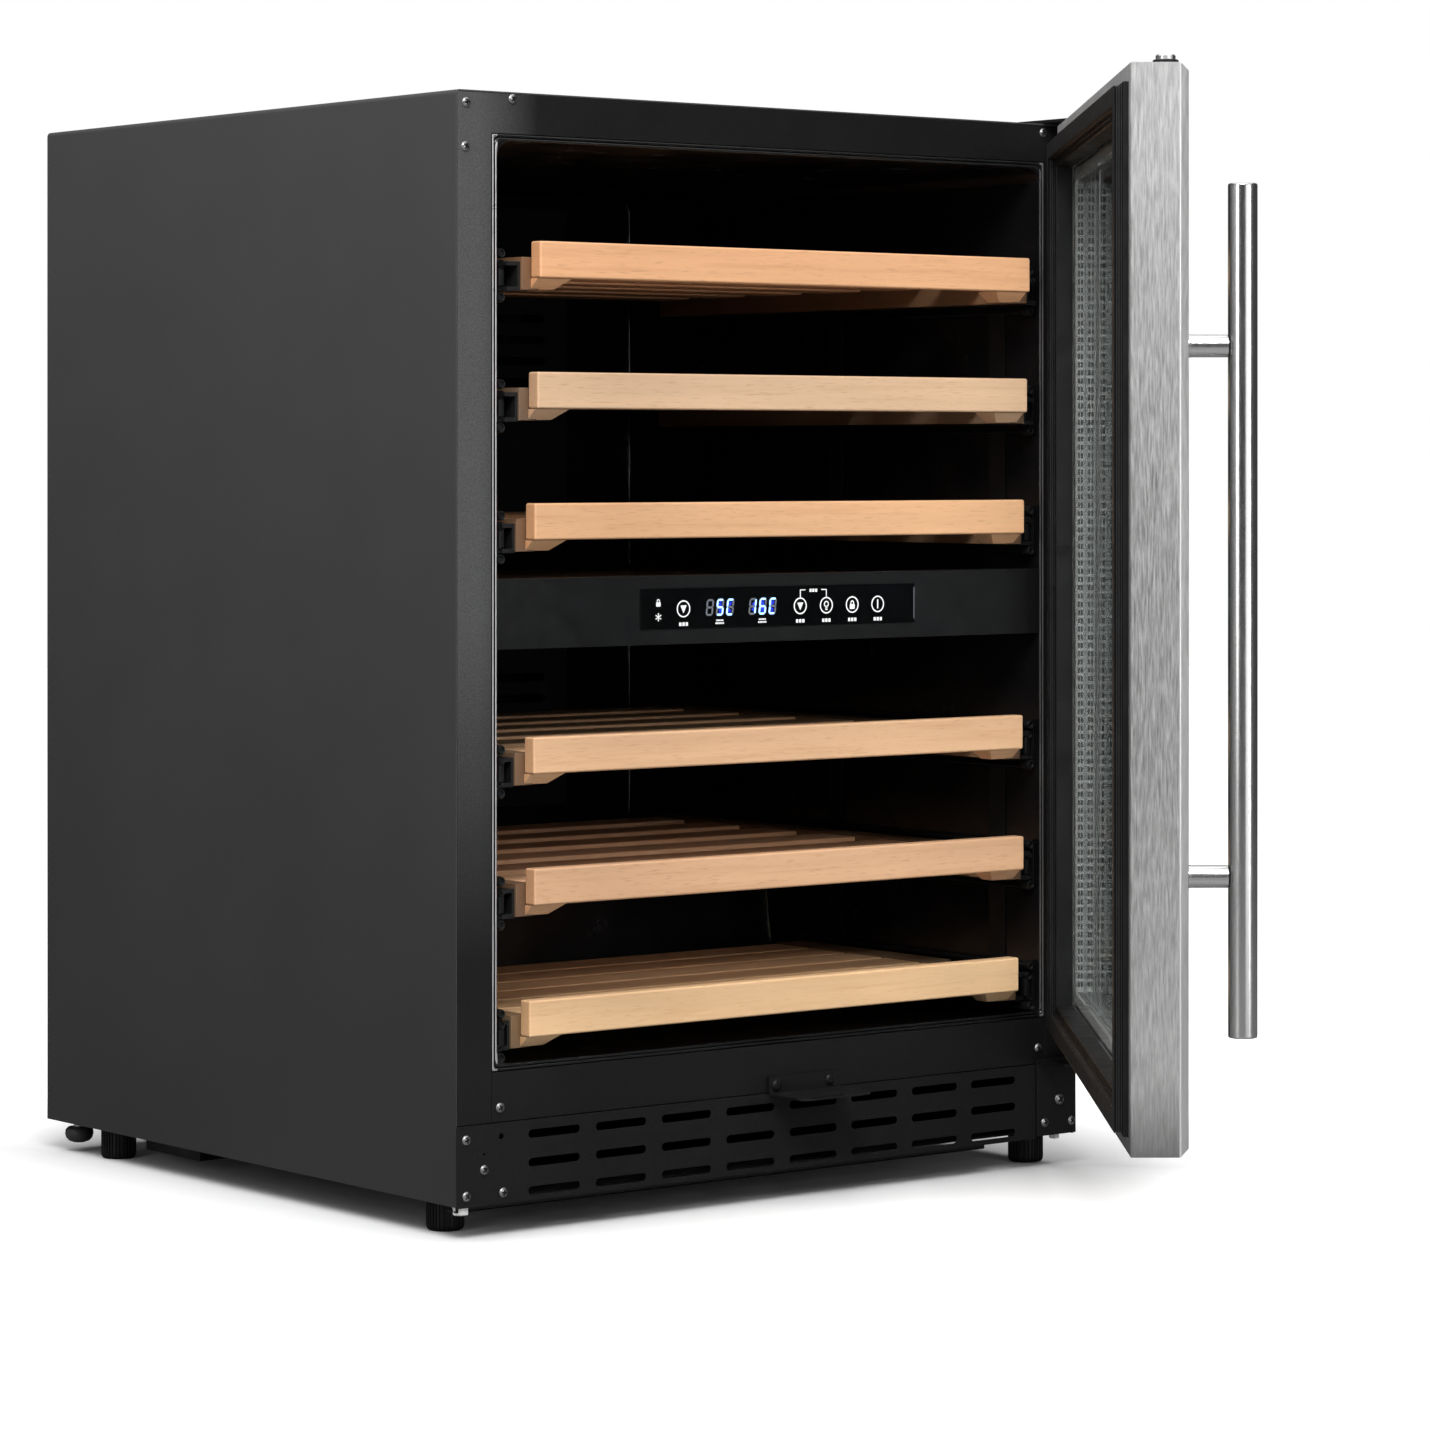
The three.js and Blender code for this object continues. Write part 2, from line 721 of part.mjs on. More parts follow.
function makeDoorFrame() {
  const { face, back, bottom, top } = DOOR;
  const shell = cut(bevelledBlock(), doorBlock(6.2, [face + DOOR_SKIN, face + 6.2]));
  const open = cut(shell, doorBlock(DOOR_SKIN, [face + 6.2, back + 1]));
  const flange = ring(DOOR_SKIN - 0.5, DOOR_FLANGE, [back - SHEET, back]);
  const holes = [
    doorBlock(DOOR_WINDOW, [face - 1, face + 4]),
    rodZ(PIN_HOLE_RADIUS, 0, 0, [bottom - 1, bottom + 4]),
    rodZ(PIN_HOLE_RADIUS, 0, 0, [top - 4, top + 1]),
    rodY(LOCK.radius + 0.4, LOCK.x, LOCK.z, [face - 1, face + 4]),
    box([LOCK.x - LOCK.cam - 1, LOCK.x + 6], [-7.5, -1.5], [bottom - 1, bottom + 3]),
  ];
  add("door_frame", cut(join(open, flange), ...holes), STEEL, door);
}

function makeDoorLining() {
  const frameBack = DOOR.back + 4;
  const rim = ring(DOOR_FLANGE + GAP, GLASS_INSET - 1, [15.5, frameBack]);
  add("door_inner_frame", rim, BLACK_PLASTIC, door);

  const tip = -HINGE_Y - 0.5;
  const base = ring(14, 28, [frameBack + GAP, frameBack + 2.5]);
  const bellows = ring(16, 25, [frameBack + 2.4, tip]);
  add("door_gasket", join(base, bellows), RUBBER, door);
}

function makeGlazing() {
  const outer = [-12.6, -8.6];
  const middle = [-0.6, 2.4];
  const inner = [10.6, 14.6];
  add("door_outer_glass", doorBlock(GLASS_INSET, outer), GLASS, door);
  const seat = GLASS_INSET + 3.5;
  add("door_middle_glass", doorBlock(seat, middle), GLASS, door);
  add("door_inner_glass", doorBlock(GLASS_INSET, inner), GLASS, door);
  const channel = ring(
    GLASS_INSET + 1.2,
    GLASS_INSET + 1.2 + SPACER_WIDTH,
    [outer[1] + GAP, inner[0] - GAP],
  );
  const groove = doorBlock(seat - GAP, [middle[0] - GAP, middle[1] + GAP]);
  add("glass_spacer", cut(channel, groove), ALUMINIUM, door);
}

function makeHandle() {
  const x = DOOR.left + HANDLE.inset;
  const y = DOOR.face - HANDLE.standOff;
  const bar = rodZ(HANDLE.radius, x, y, [HANDLE.bottom, HANDLE.top], 32);
  add("handle_bar", bar, STEEL, door);
  const reach = [y + HANDLE.radius + GAP, DOOR.face - GAP];
  ["lower_handle_post", "upper_handle_post"].forEach((name, index) => {
    add(name, rodY(POST.radius, x, POST.heights[index], reach), STEEL, door);
  });
}

// Lock barrel in the door's lower rail, with a cam that drops through the rail's
// underside into the catch when the key is turned a quarter turn.
function makeLock() {
  const { x, z, radius, cam } = LOCK;
  const rim = rodY(radius + 2.5, x, z, [DOOR.face - 2.5, DOOR.face - GAP], 24);
  const barrel = rodY(radius, x, z, [DOOR.face - 1, -6], 24);
  const tongue = alongY(roundEnded(x - cam / 2 + 4, z, cam, 8, 4), [-6.5, -3]);
  add("door_lock", join(rim, barrel, tongue), ZINC, door);
}

makeCasing();
makeFrontFrame();
makeLiner();
makeFoam();
makeBackAndBase();
makeRearCover();
makeKickGrille();
makeLockCatch();
makeHingeBrackets();
makeFeet();
makeControls();
FAN_COVERS.forEach(makeFanCover);
makeMachineBay();
makeShelves();
makeDoorFrame();
makeDoorLining();
makeGlazing();
makeHandle();
makeLock();

export default group;
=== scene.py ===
# Under-counter wine cooler: the looks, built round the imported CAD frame.
# Blender works in metres; shapes below are given in millimetres and scaled by MM.
import json
import math

import bmesh
import bpy
from mathutils import Matrix, Vector


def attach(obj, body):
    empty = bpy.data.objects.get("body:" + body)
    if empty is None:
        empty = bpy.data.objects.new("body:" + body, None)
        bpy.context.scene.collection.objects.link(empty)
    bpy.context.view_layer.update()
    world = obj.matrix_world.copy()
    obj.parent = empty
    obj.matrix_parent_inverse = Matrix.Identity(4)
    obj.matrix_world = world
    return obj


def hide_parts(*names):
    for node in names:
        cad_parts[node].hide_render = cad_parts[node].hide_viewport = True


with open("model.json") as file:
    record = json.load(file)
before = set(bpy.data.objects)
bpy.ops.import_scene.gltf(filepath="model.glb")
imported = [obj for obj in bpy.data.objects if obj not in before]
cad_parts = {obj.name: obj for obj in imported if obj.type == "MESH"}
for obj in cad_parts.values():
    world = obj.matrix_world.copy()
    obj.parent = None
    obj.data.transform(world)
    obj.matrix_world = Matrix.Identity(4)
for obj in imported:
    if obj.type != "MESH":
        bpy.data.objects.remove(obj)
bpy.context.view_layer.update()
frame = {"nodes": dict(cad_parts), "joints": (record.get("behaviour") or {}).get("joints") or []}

scene = bpy.context.scene
MM = 0.001


# --- places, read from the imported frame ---
def span(node, into=Matrix.Identity(4)):
    """Lowest and highest corner of a CAD node in millimetres, after the matrix `into`."""
    points = [into @ v.co for v in frame["nodes"][node].data.vertices]
    low = Vector([min(p[i] for p in points) for i in range(3)]) / MM
    high = Vector([max(p[i] for p in points) for i in range(3)]) / MM
    return low, high


hinge = next(j for j in frame["joints"] if j["name"] == "door_hinge")
hinge_x, hinge_y, _ = hinge["pos_m"]
DOOR_OPEN = math.radians(-hinge["range_deg"][0])
DOOR = Matrix.Translation((hinge_x, hinge_y, 0)) @ Matrix.Rotation(DOOR_OPEN, 4, "Z")
IN_DOOR = DOOR.inverted()
SHELVES = range(1, 7)


# --- material building ---
class Look:
    """A procedural material: a principled shader and short calls that feed it."""

    def __init__(self, name, color, roughness, metallic=0.0, **sockets):
        self.material = bpy.data.materials.new(name)
        self.material.use_nodes = True
        self.tree = self.material.node_tree
        self.shader = self.tree.nodes["Principled BSDF"]
        sockets |= {"Base_Color": (*color, 1), "Roughness": roughness, "Metallic": metallic}
        for socket, value in sockets.items():
            self.shader.inputs[socket.replace("_", " ")].default_value = value
        self.place = self.tree.nodes.new("ShaderNodeTexCoord")

    def feed(self, socket, value):
        """Links an output to an input socket, or sets the socket to a constant."""
        if isinstance(value, bpy.types.NodeSocket):
            self.tree.links.new(value, socket)
        else:
            socket.default_value = value

    def node(self, kind, **inputs):
        made = self.tree.nodes.new(kind)
        for name, value in inputs.items():
            self.feed(made.inputs[name], value)
        return made

    def axes(self, source="Object"):
        """The X, Y and Z of object coordinates, in metres, or of the normal."""
        return self.node("ShaderNodeSeparateXYZ", Vector=self.place.outputs[source]).outputs

    def stretched(self, scale, offset=(0, 0, 0)):
        """Object coordinates times a scale for each axis, in cycles a metre."""
        place = self.place.outputs["Object"]
        made = self.node("ShaderNodeMapping", Vector=place, Scale=scale, Location=offset)
        return made.outputs["Vector"]

    def noise(self, scale, detail=2.0, offset=(0, 0, 0), roughness=0.5):
        scale = (scale,) * 3 if isinstance(scale, (int, float)) else scale
        place = self.stretched(scale, offset)
        made = self.node("ShaderNodeTexNoise", Vector=place, Scale=1.0, Detail=detail,
                         Roughness=roughness)
        return made.outputs["Fac"]

    def drift(self, scale, detail, start=0.0, end=1.0):
        """Noise stretched to run from `start` to `end`."""
        return self.ramp(self.noise(scale, detail), 0.3, 0.7, start, end)

    def ramp(self, factor, low, high, start=0.0, end=1.0):
        """factor from `low` to `high`, mapped to start..end and held there outside."""
        made = self.node("ShaderNodeMapRange", Value=factor)
        limits = {"From Min": low, "From Max": high, "To Min": start, "To Max": end}
        for name, value in limits.items():
            made.inputs[name].default_value = value
        return made.outputs["Result"]

    def math(self, operation, a, b=0.0):
        made = self.tree.nodes.new("ShaderNodeMath")
        made.operation = operation
        for socket, value in zip(made.inputs, (a, b)):
            self.feed(socket, value)
        return made.outputs["Value"]

    def mix(self, factor, a, b):
        """Two colours, or a colour socket and a colour, mixed by a factor socket."""
        made = self.tree.nodes.new("ShaderNodeMix")
        made.data_type = "RGBA"
        self.tree.links.new(factor, made.inputs[0])
        for socket, value in zip((made.inputs[6], made.inputs[7]), (a, b)):
            self.feed(socket, (*value, 1) if isinstance(value, tuple) else value)
        return made.outputs[2]

    def color(self, socket):
        self.feed(self.shader.inputs["Base Color"], socket)

    def roughness(self, socket):
        self.feed(self.shader.inputs["Roughness"], socket)

    def bump(self, height, distance, strength=1.0):
        """Adds relief `distance` metres deep, on top of any relief there already."""
        made = self.node("ShaderNodeBump", Height=height, Distance=distance, Strength=strength)
        normal = self.shader.inputs["Normal"]
        if normal.is_linked:
            self.feed(made.inputs["Normal"], normal.links[0].from_socket)
        self.feed(normal, made.outputs["Normal"])


def shade(color, factor):
    return tuple(c * factor for c in color)


def casing_look():
    """Charcoal paint with a faint orange peel and soft tonal drift, painted paler towards the top as
    painted light from above.
    """
    base = (0.026, 0.026, 0.0263)
    look = Look("casing_coat", base, 0.5, Specular_IOR_Level=0.3)
    drift = look.drift(3.5, 3)
    speck = look.ramp(look.noise(900, 1), 0.70, 0.78, 0, 0.5)
    tone = look.mix(drift, shade(base, 0.86), shade(base, 1.08))
    # painted light: the tone pales towards the top, for the light falling from above
    tone = look.mix(look.ramp(look.axes()["Z"], 0.05, 0.85), tone, shade(base, 1.95))
    look.color(look.mix(speck, tone, (0.07, 0.07, 0.07)))
    look.roughness(look.ramp(look.noise(14, 4), 0.25, 0.75, 0.44, 0.56))
    look.bump(look.noise(420, 3), 0.00006)
    return look.material


def powder_look(name, base, painted_sheen_left=False):
    """Fine-grained black powder coat; when asked, the upper front face of the left upright is painted
    pale as a painted highlight.
    """
    look = Look(name, base, 0.4, Specular_IOR_Level=0.2)
    grain = look.noise(1100, 3)
    fleck = look.ramp(look.noise(1500, 2, (7, 3, 1)), 0.56, 0.74, 0, 0.75)
    tone = look.mix(look.ramp(grain, 0.35, 0.65), shade(base, 0.7), shade(base, 1.35))
    tone = look.mix(fleck, tone, (0.03, 0.03, 0.031))
    # painted highlight: a pale sheen on the upper front face of the left upright, where the light
    # catches it
    if painted_sheen_left:
        axes = look.axes()
        left = look.ramp(axes["X"], -0.278, -0.225, 1.0, 0.0)
        high = look.ramp(axes["Z"], 0.2, 0.46)
        front = look.ramp(axes["Y"], -0.024, -0.028)
        sheen_grey = look.mix(grain, (0.01, 0.01, 0.0102), (0.125, 0.125, 0.127))
        sheen_mask = look.math("MULTIPLY", look.math("MULTIPLY", left, high), front)
        tone = look.mix(sheen_mask, tone, sheen_grey)
    look.color(tone)
    look.roughness(look.drift(30, 4, 0.35, 0.46))
    look.bump(grain, 0.00022, 0.8)
    return look.material


# where the liner's upright beads are: ahead of its mouth, and near its sides; their crests carry a
# painted highlight
BEAD_CREST = (span("inner_liner")[0].y - 0.35) * MM
BEAD_SIDE = (span("inner_liner")[1].x - 5.0) * MM


def liner_look():
    """Glossy black plastic in slow waves; the crests of its upright beads are painted bright and
    metallic as a painted highlight.
    """
    base = (0.0045, 0.0045, 0.005)
    look = Look("liner_plastic", base, 0.2, Specular_IOR_Level=0.5)
    gloss = look.ramp(look.noise(25, 5), 0.3, 0.75, 0.14, 0.3)
    axes = look.axes()
    # painted highlight: bright metallic crests on the upright beads only, where the light catches
    # them
    bead = look.ramp(axes["Y"], BEAD_CREST + 0.0003, BEAD_CREST + 0.00015)
    side = look.math("ABSOLUTE", axes["X"])
    bright = look.math("MULTIPLY", bead, look.ramp(side, BEAD_SIDE, BEAD_SIDE + 0.0004))
    plain = look.mix(look.noise(6, 3), shade(base, 0.7), shade(base, 1.5))
    look.color(look.mix(bright, plain, (0.62, 0.62, 0.63)))
    look.feed(look.shader.inputs["Metallic"], bright)
    look.roughness(look.math("ADD", gloss, look.math("MULTIPLY", bright, 0.12)))
    look.bump(look.noise(11, 2), 0.0012, 0.5)
    look.bump(look.noise(700, 2), 0.00003)
    return look.material


def moulded_look(name, base, roughness=0.42, grain=650):
    """Moulded plastic with a fine spark-eroded grain."""
    look = Look(name, base, roughness, Specular_IOR_Level=0.22)
    look.color(look.mix(look.noise(40, 4), shade(base, 0.75), shade(base, 1.35)))
    look.roughness(look.drift(60, 3, roughness - 0.07, roughness + 0.1))
    look.bump(look.noise(grain, 3), 0.0001, 0.7)
    return look.material


def lens_look():
    """Gloss black acrylic window with the faintest polish haze."""
    look = Look("lens", (0.001, 0.001, 0.0012), 0.1, Specular_IOR_Level=0.35)
    look.color(look.mix(look.noise(30, 2), (0.0007, 0.0007, 0.001), (0.0018, 0.0018, 0.0021)))
    look.roughness(look.ramp(look.noise(90, 5), 0.35, 0.75, 0.06, 0.15))
    return look.material


def rubber_look(name="gasket", base=(0.0065, 0.0065, 0.007)):
    """Soft extruded rubber, slightly dusty."""
    look = Look(name, base, 0.55, Specular_IOR_Level=0.4)
    dust = look.ramp(look.noise(55, 6), 0.45, 0.8, 0, 0.5)
    look.color(look.mix(dust, base, shade(base, 2.4)))
    look.roughness(look.drift(120, 4, 0.42, 0.66))
    look.bump(look.noise(900, 2), 0.00008)
    return look.material


def brushed_look(name, base, roughness, contrast=1.0, spread_out=0.75, fold=None):
    """Stainless steel brushed along Z. `fold` holds the two Y values of a door frame's bevel;
    with it the bevel is painted bright, its crease gets a painted highlight, the frame is painted
    paler towards both ends as painted light, and darker at its foot as painted shade."""
    across, along = 850, 60
    look = Look(name, base, roughness, 1.0, Anisotropic=spread_out)
    spread = look.node("ShaderNodeVectorMath")
    spread.operation = "CROSS_PRODUCT"
    normal = look.tree.nodes.new("ShaderNodeNewGeometry").outputs["Normal"]
    look.tree.links.new(normal, spread.inputs[0])
    spread.inputs[1].default_value = (0, 0, 1)
    look.tree.links.new(spread.outputs["Vector"], look.shader.inputs["Tangent"])
    hair = look.noise((across, across, along), 5, roughness=0.65)
    broad = look.noise((across / 6, across / 6, along / 3), 3)
    patch = look.noise((9, 9, 3), 2)
    dark, pale = shade(base, 1 - 0.42 * contrast), shade(base, 1 + 0.36 * contrast)
    tone = look.mix(look.ramp(hair, 0.34, 0.66), dark, pale)
    tone = look.mix(look.ramp(broad, 0.3, 0.7, 0, 0.35), tone, shade(base, 0.95))
    if fold:
        axes = look.axes()
        height, deep = axes["Z"], axes["Y"]
        # painted light: the frame paler towards its upper and lower ends
        painted_light_end = look.mix(look.ramp(hair, 0.34, 0.66), shade(base, 1.15), shade(base, 1.55))
        upper = look.ramp(height, 0.52, 0.76, 0.0, 1.0)
        lower = look.ramp(height, 0.36, 0.17, 0.0, 0.8)
        tone = look.mix(look.math("MAXIMUM", upper, lower), tone, painted_light_end)
        # painted shade: darker at the foot of the frame
        foot = look.ramp(height, 0.15, 0.095, 0.0, 0.75)
        tone = look.mix(foot, tone, shade(base, 0.3))
        # painted light: the bevel strip painted bright
        begun = look.ramp(deep, fold[0], fold[0] + 0.0004)
        ended = look.ramp(deep, fold[1], fold[1] - 0.0002)
        tone = look.mix(look.math("MULTIPLY", begun, ended), tone, shade(base, 1.52))
        # painted highlight: a near-white line along the crease
        crease = look.math("ABSOLUTE", look.math("SUBTRACT", deep, fold[1]))
        tone = look.mix(look.ramp(crease, 0.0010, 0.0006), tone, (0.97, 0.97, 0.97))
    look.color(tone)
    gloss = look.math("MULTIPLY", look.ramp(hair, 0.3, 0.7, 0.8, 1.25), roughness)
    look.roughness(look.math("ADD", gloss, look.ramp(patch, 0.3, 0.7, -0.02, 0.04)))
    look.bump(hair, 0.00008 * contrast, 0.6)
    return look.material


def plated_look(name, base, roughness=0.32, metallic=1.0):
    """Zinc plate or mill aluminium: soft cloudy tone and fine pitting."""
    look = Look(name, base, roughness, metallic)
    cloud = look.noise(220, 4)
    look.color(look.mix(look.ramp(cloud, 0.3, 0.7), shade(base, 0.7), shade(base, 1.15)))
    look.roughness(look.drift(500, 4, roughness - 0.08, roughness + 0.14))
    look.bump(look.noise(1400, 2), 0.00004)
    return look.material


def glass_look():
    """Float glass with a faint green cast and a trace of haze."""
    look = Look("clear_glass", (0.93, 0.97, 0.955), 0.02, IOR=1.5, Transmission_Weight=1.0)
    look.color(look.mix(look.noise(4, 2), (0.94, 0.975, 0.96), (0.9, 0.955, 0.94)))
    look.roughness(look.ramp(look.noise(18, 6), 0.5, 0.85, 0.0, 0.02))
    return look.material


def foam_look():
    """Rigid polyurethane foam with a fine open cell."""
    base = (0.62, 0.52, 0.3)
    look = Look("foam", base, 0.9)
    cell = look.noise(320, 4)
    look.color(look.mix(look.ramp(cell, 0.3, 0.7), shade(base, 0.75), shade(base, 1.1)))
    look.bump(cell, 0.0006)
    return look.material


def beech_look(name, base, along, seed):
    """Lacquered beech, its grain running along one axis (0 for X, 1 for Y)."""
    look = Look(name, base, 0.42, Coat_Weight=0.12, Coat_Roughness=0.3)

    def grain(length, width, detail, shift):
        scale = [width, width, width]
        scale[along] = length
        return look.noise(tuple(scale), detail, (seed * 3.7 + shift, seed * 1.3, seed * 2.1))

    band = grain(2.2, 38, 4, 0.0)
    line = grain(9, 260, 4, 5.0)
    fleck = grain(70, 900, 2, 9.0)
    wide = look.noise(5, 2, (seed, 2, 0))
    tone = look.mix(look.ramp(band, 0.32, 0.68), shade(base, 0.88), shade(base, 1.07))
    dark = (base[0] * 0.78, base[1] * 0.68, base[2] * 0.58)
    tone = look.mix(look.ramp(line, 0.5, 0.74, 0, 0.5), tone, dark)
    tone = look.mix(look.ramp(fleck, 0.58, 0.74, 0, 0.55), tone, shade(dark, 0.8))
    tone = look.mix(look.ramp(wide, 0.35, 0.7, 0, 0.25), tone, shade(base, 1.12))
    end = look.ramp(look.math("ABSOLUTE", look.axes("Normal")[along]), 0.6, 0.95, 0, 0.55)
    look.color(look.mix(end, tone, (base[0] * 0.72, base[1] * 0.6, base[2] * 0.5)))
    look.roughness(look.ramp(line, 0.3, 0.7, 0.36, 0.5))
    look.bump(line, 0.00012, 0.6)
    look.bump(fleck, 0.00006, 0.5)
    return look.material


def printed_look(name, color, strength=0.0, glow=(1, 1, 1)):
    """Screen-printed ink, or a lit display segment when it has a strength."""
    look = Look(name, color, 0.4)
    look.color(look.mix(look.noise(900, 3), shade(color, 0.8), shade(color, 1.0)))
    if strength:
        look.shader.inputs["Emission Color"].default_value = (*glow, 1)
        look.shader.inputs["Emission Strength"].default_value = strength
    return look.material


# the boards differ in colour; the rails beneath them are the same wood darkened, as painted shade
# under the boards
RAIL_PAINTED_SHADE = 0.26
BEECH = [
    (0.70, 0.375, 0.195),
    (0.605, 0.396, 0.249),
    (0.67, 0.376, 0.200),
    (0.68, 0.413, 0.237),
    (0.632, 0.370, 0.212),
    (0.75, 0.485, 0.270),
]
LOOKS = {
    "casing_coat": casing_look(),
    # the frame coat carries a painted highlight on its left upright
    "frame_coat": powder_look("frame_coat", (0.0055, 0.0055, 0.0057), painted_sheen_left=True),
    "liner_plastic": liner_look(),
    "foam": foam_look(),
    "black_plastic": moulded_look("black_plastic", (0.005, 0.0052, 0.0057)),
    "lens": lens_look(),
    "gasket": rubber_look(),
    "stainless": brushed_look("stainless", (0.63, 0.63, 0.627), 0.36),
    "handle_steel": brushed_look("handle_steel", (0.62, 0.62, 0.617), 0.19, 0.15, 0.4),
    "zinc": plated_look("zinc", (0.62, 0.62, 0.61)),
    "slide_steel": powder_look("slide_steel", (0.008, 0.008, 0.0085)),
    "alloy": plated_look("alloy", (0.82, 0.82, 0.81), 0.5, 0.3),
    "clear_glass": glass_look(),
}
for k, wood in zip(SHELVES, BEECH):
    LOOKS[f"beech_{k}"] = beech_look(f"beech_{k}", wood, 0, k)
    # painted shade: each rail look is its board's wood, darkened
    LOOKS[f"beech_{k}_rail"] = beech_look(f"beech_{k}_rail", shade(wood, RAIL_PAINTED_SHADE), 1, k + 10)
INK = printed_look("panel_ink", (0.8, 0.81, 0.82), 0.3)
LIT = printed_look("lit_segment", (0.35, 0.6, 1.0), 1.6, (0.36, 0.62, 1.0))
HALO = printed_look("segment_halo", (0.01, 0.03, 0.2), 0.8, (0.004, 0.03, 0.9))
# painted shade: dark grey marks that stand for the shade inside the spacer's perforations
HOLE_SHADE = moulded_look("painted_hole_shade", (0.05, 0.05, 0.052), 0.7)
RECESS = moulded_look("recess_shadow", (0.004, 0.004, 0.004), 0.8)
DULL_ZINC = plated_look("dull_zinc", (0.34, 0.34, 0.34), 0.34)
UNLIT = printed_look("unlit_segment", (0.16, 0.17, 0.2))


# --- shapes, in millimetres ---
def placed(name, data):
    """A new object of the scene."""
    obj = bpy.data.objects.new(name, data)
    scene.collection.objects.link(obj)
    return obj


def cleaned(bm):
    bmesh.ops.remove_doubles(bm, verts=bm.verts[:], dist=1e-4)
    bmesh.ops.recalc_face_normals(bm, faces=bm.faces[:])
    return bm


def block(x, y, z):
    """A box between two values on each axis."""
    bm = bmesh.new()
    size = Matrix.Diagonal((x[1] - x[0], y[1] - y[0], z[1] - z[0], 1))
    middle = Matrix.Translation(((x[0] + x[1]) / 2, (y[0] + y[1]) / 2, (z[0] + z[1]) / 2))
    bmesh.ops.create_cube(bm, size=1, matrix=middle @ size)
    return bm


def rounded(bm, radius, segments=3):
    """Rounds every edge that turns more than 30 degrees."""
    sharp = [e for e in bm.edges if e.is_manifold and e.calc_face_angle(0) > math.radians(30)]
    bmesh.ops.bevel(
        bm, geom=sharp, offset=radius, segments=segments, profile=0.5, affect="EDGES"
    )
    return bm


def loops_to_solid(loops, closed=False):
    """Joins rings of points one after another; caps both ends, or joins them if closed."""
    bm = bmesh.new()
    rings = [[bm.verts.new(p) for p in ring] for ring in loops]
    pairs = list(zip(rings, rings[1:]))
    if closed:
        pairs.append((rings[-1], rings[0]))
    for a, b in pairs:
        for i in range(len(a)):
            j = (i + 1) % len(a)
            bm.faces.new((a[i], a[j], b[j], b[i]))
    if not closed:
        bm.faces.new(list(reversed(rings[0])))
        bm.faces.new(rings[-1])
    return cleaned(bm)


def turned(profile, sides=48, ribs=0, rib=0.0):
    """A solid turned about Z from (radius, height) points, with optional ribs round it."""
    loops = []
    for radius, height in profile:
        ring = []
        for i in range(sides):
            angle = 2 * math.pi * i / sides
            wave = rib * max(0.0, math.cos(ribs * angle)) ** 0.5 if ribs else 0.0
            reach = radius - rib + wave if ribs else radius
            ring.append((reach * math.cos(angle), reach * math.sin(angle), height))
        loops.append(ring)
    return loops_to_solid(loops)


def arc(middle, radius, start, end, steps):
    """Points on a circle from one angle in degrees to another."""
    turns = [math.radians(start + (end - start) * i / steps) for i in range(steps + 1)]
    return [(middle[0] + radius * math.cos(t), middle[1] + radius * math.sin(t)) for t in turns]


def round_rectangle(left, right, bottom, top, radius, steps=8):
    corners = [
        (right - radius, bottom + radius, -90),
        (right - radius, top - radius, 0),
        (left + radius, top - radius, 90),
        (left + radius, bottom + radius, 180),
    ]
    return [p for x, y, a in corners for p in arc((x, y), radius, a, a + 90, steps)]


def circle(x, z, radius, steps=32):
    return arc((x, z), radius, 0, 360 - 360 / steps, steps - 1)


MITRE_RADIUS = 0.01


def inset_by(window, inset):
    left, right, bottom, top = window
    return left + inset, right - inset, bottom + inset, top - inset


def swept_frame(profile, window):
    """A closed (inset, y) profile carried round a rectangle in X and Z, with mitred corners."""
    loops = []
    for inset, y in profile:
        ring = round_rectangle(*inset_by(window, inset), MITRE_RADIUS, 1)
        loops.append([(x, y, z) for x, z in ring])
    return loops_to_solid(loops, closed=True)


def plate(outlines, y, bevel=0.2):
    """A plate standing in X and Z between two values of Y; outlines inside others are holes."""
    curve = bpy.data.curves.new("outline", "CURVE")
    curve.dimensions = "2D"
    curve.fill_mode = "BOTH"
    curve.extrude = (y[1] - y[0]) / 2 - bevel
    curve.bevel_depth = bevel
    curve.bevel_resolution = 1
    curve.offset = -bevel
    for outline in outlines:
        spline = curve.splines.new("POLY")
        spline.points.add(len(outline) - 1)
        for point, (a, b) in zip(spline.points, outline):
            point.co = (a, b, 0, 1)
        spline.use_cyclic_u = True
    carrier = placed("outline", curve)
    depsgraph = bpy.context.evaluated_depsgraph_get()
    flat = bpy.data.meshes.new_from_object(carrier.evaluated_get(depsgraph))
    bpy.data.objects.remove(carrier)
    bpy.data.curves.remove(curve)
    upright = Matrix(((1, 0, 0, 0), (0, 0, -1, (y[0] + y[1]) / 2), (0, 1, 0, 0), (0, 0, 0, 1)))
    flat.transform(upright)
    bm = bmesh.new()
    bm.from_mesh(flat)
    bpy.data.meshes.remove(flat)
    return cleaned(bm)


def slot_outline(x, z, length, height, steps=10):
    reach = length / 2 - height / 2
    right = arc((x + reach, z), height / 2, -90, 90, steps)
    return right + arc((x - reach, z), height / 2, 90, 270, steps)


def merged(*solids):
    """Several separate solids as one mesh."""
    total = bmesh.new()
    for bm in solids:
        mesh = bpy.data.meshes.new("part")
        bm.to_mesh(mesh)
        bm.free()
        total.from_mesh(mesh)
        bpy.data.meshes.remove(mesh)
    return total


def moved(bm, matrix):
    bmesh.ops.transform(bm, matrix=matrix, verts=bm.verts[:])
    return bm


def copies(make, matrices):
    return merged(*[moved(make(), m) for m in matrices])


# --- pieces ---
SMOOTH = math.radians(38)


def weigh_normals(obj):
    weigh = obj.modifiers.new("normals", "WEIGHTED_NORMAL")
    weigh.keep_sharp = True


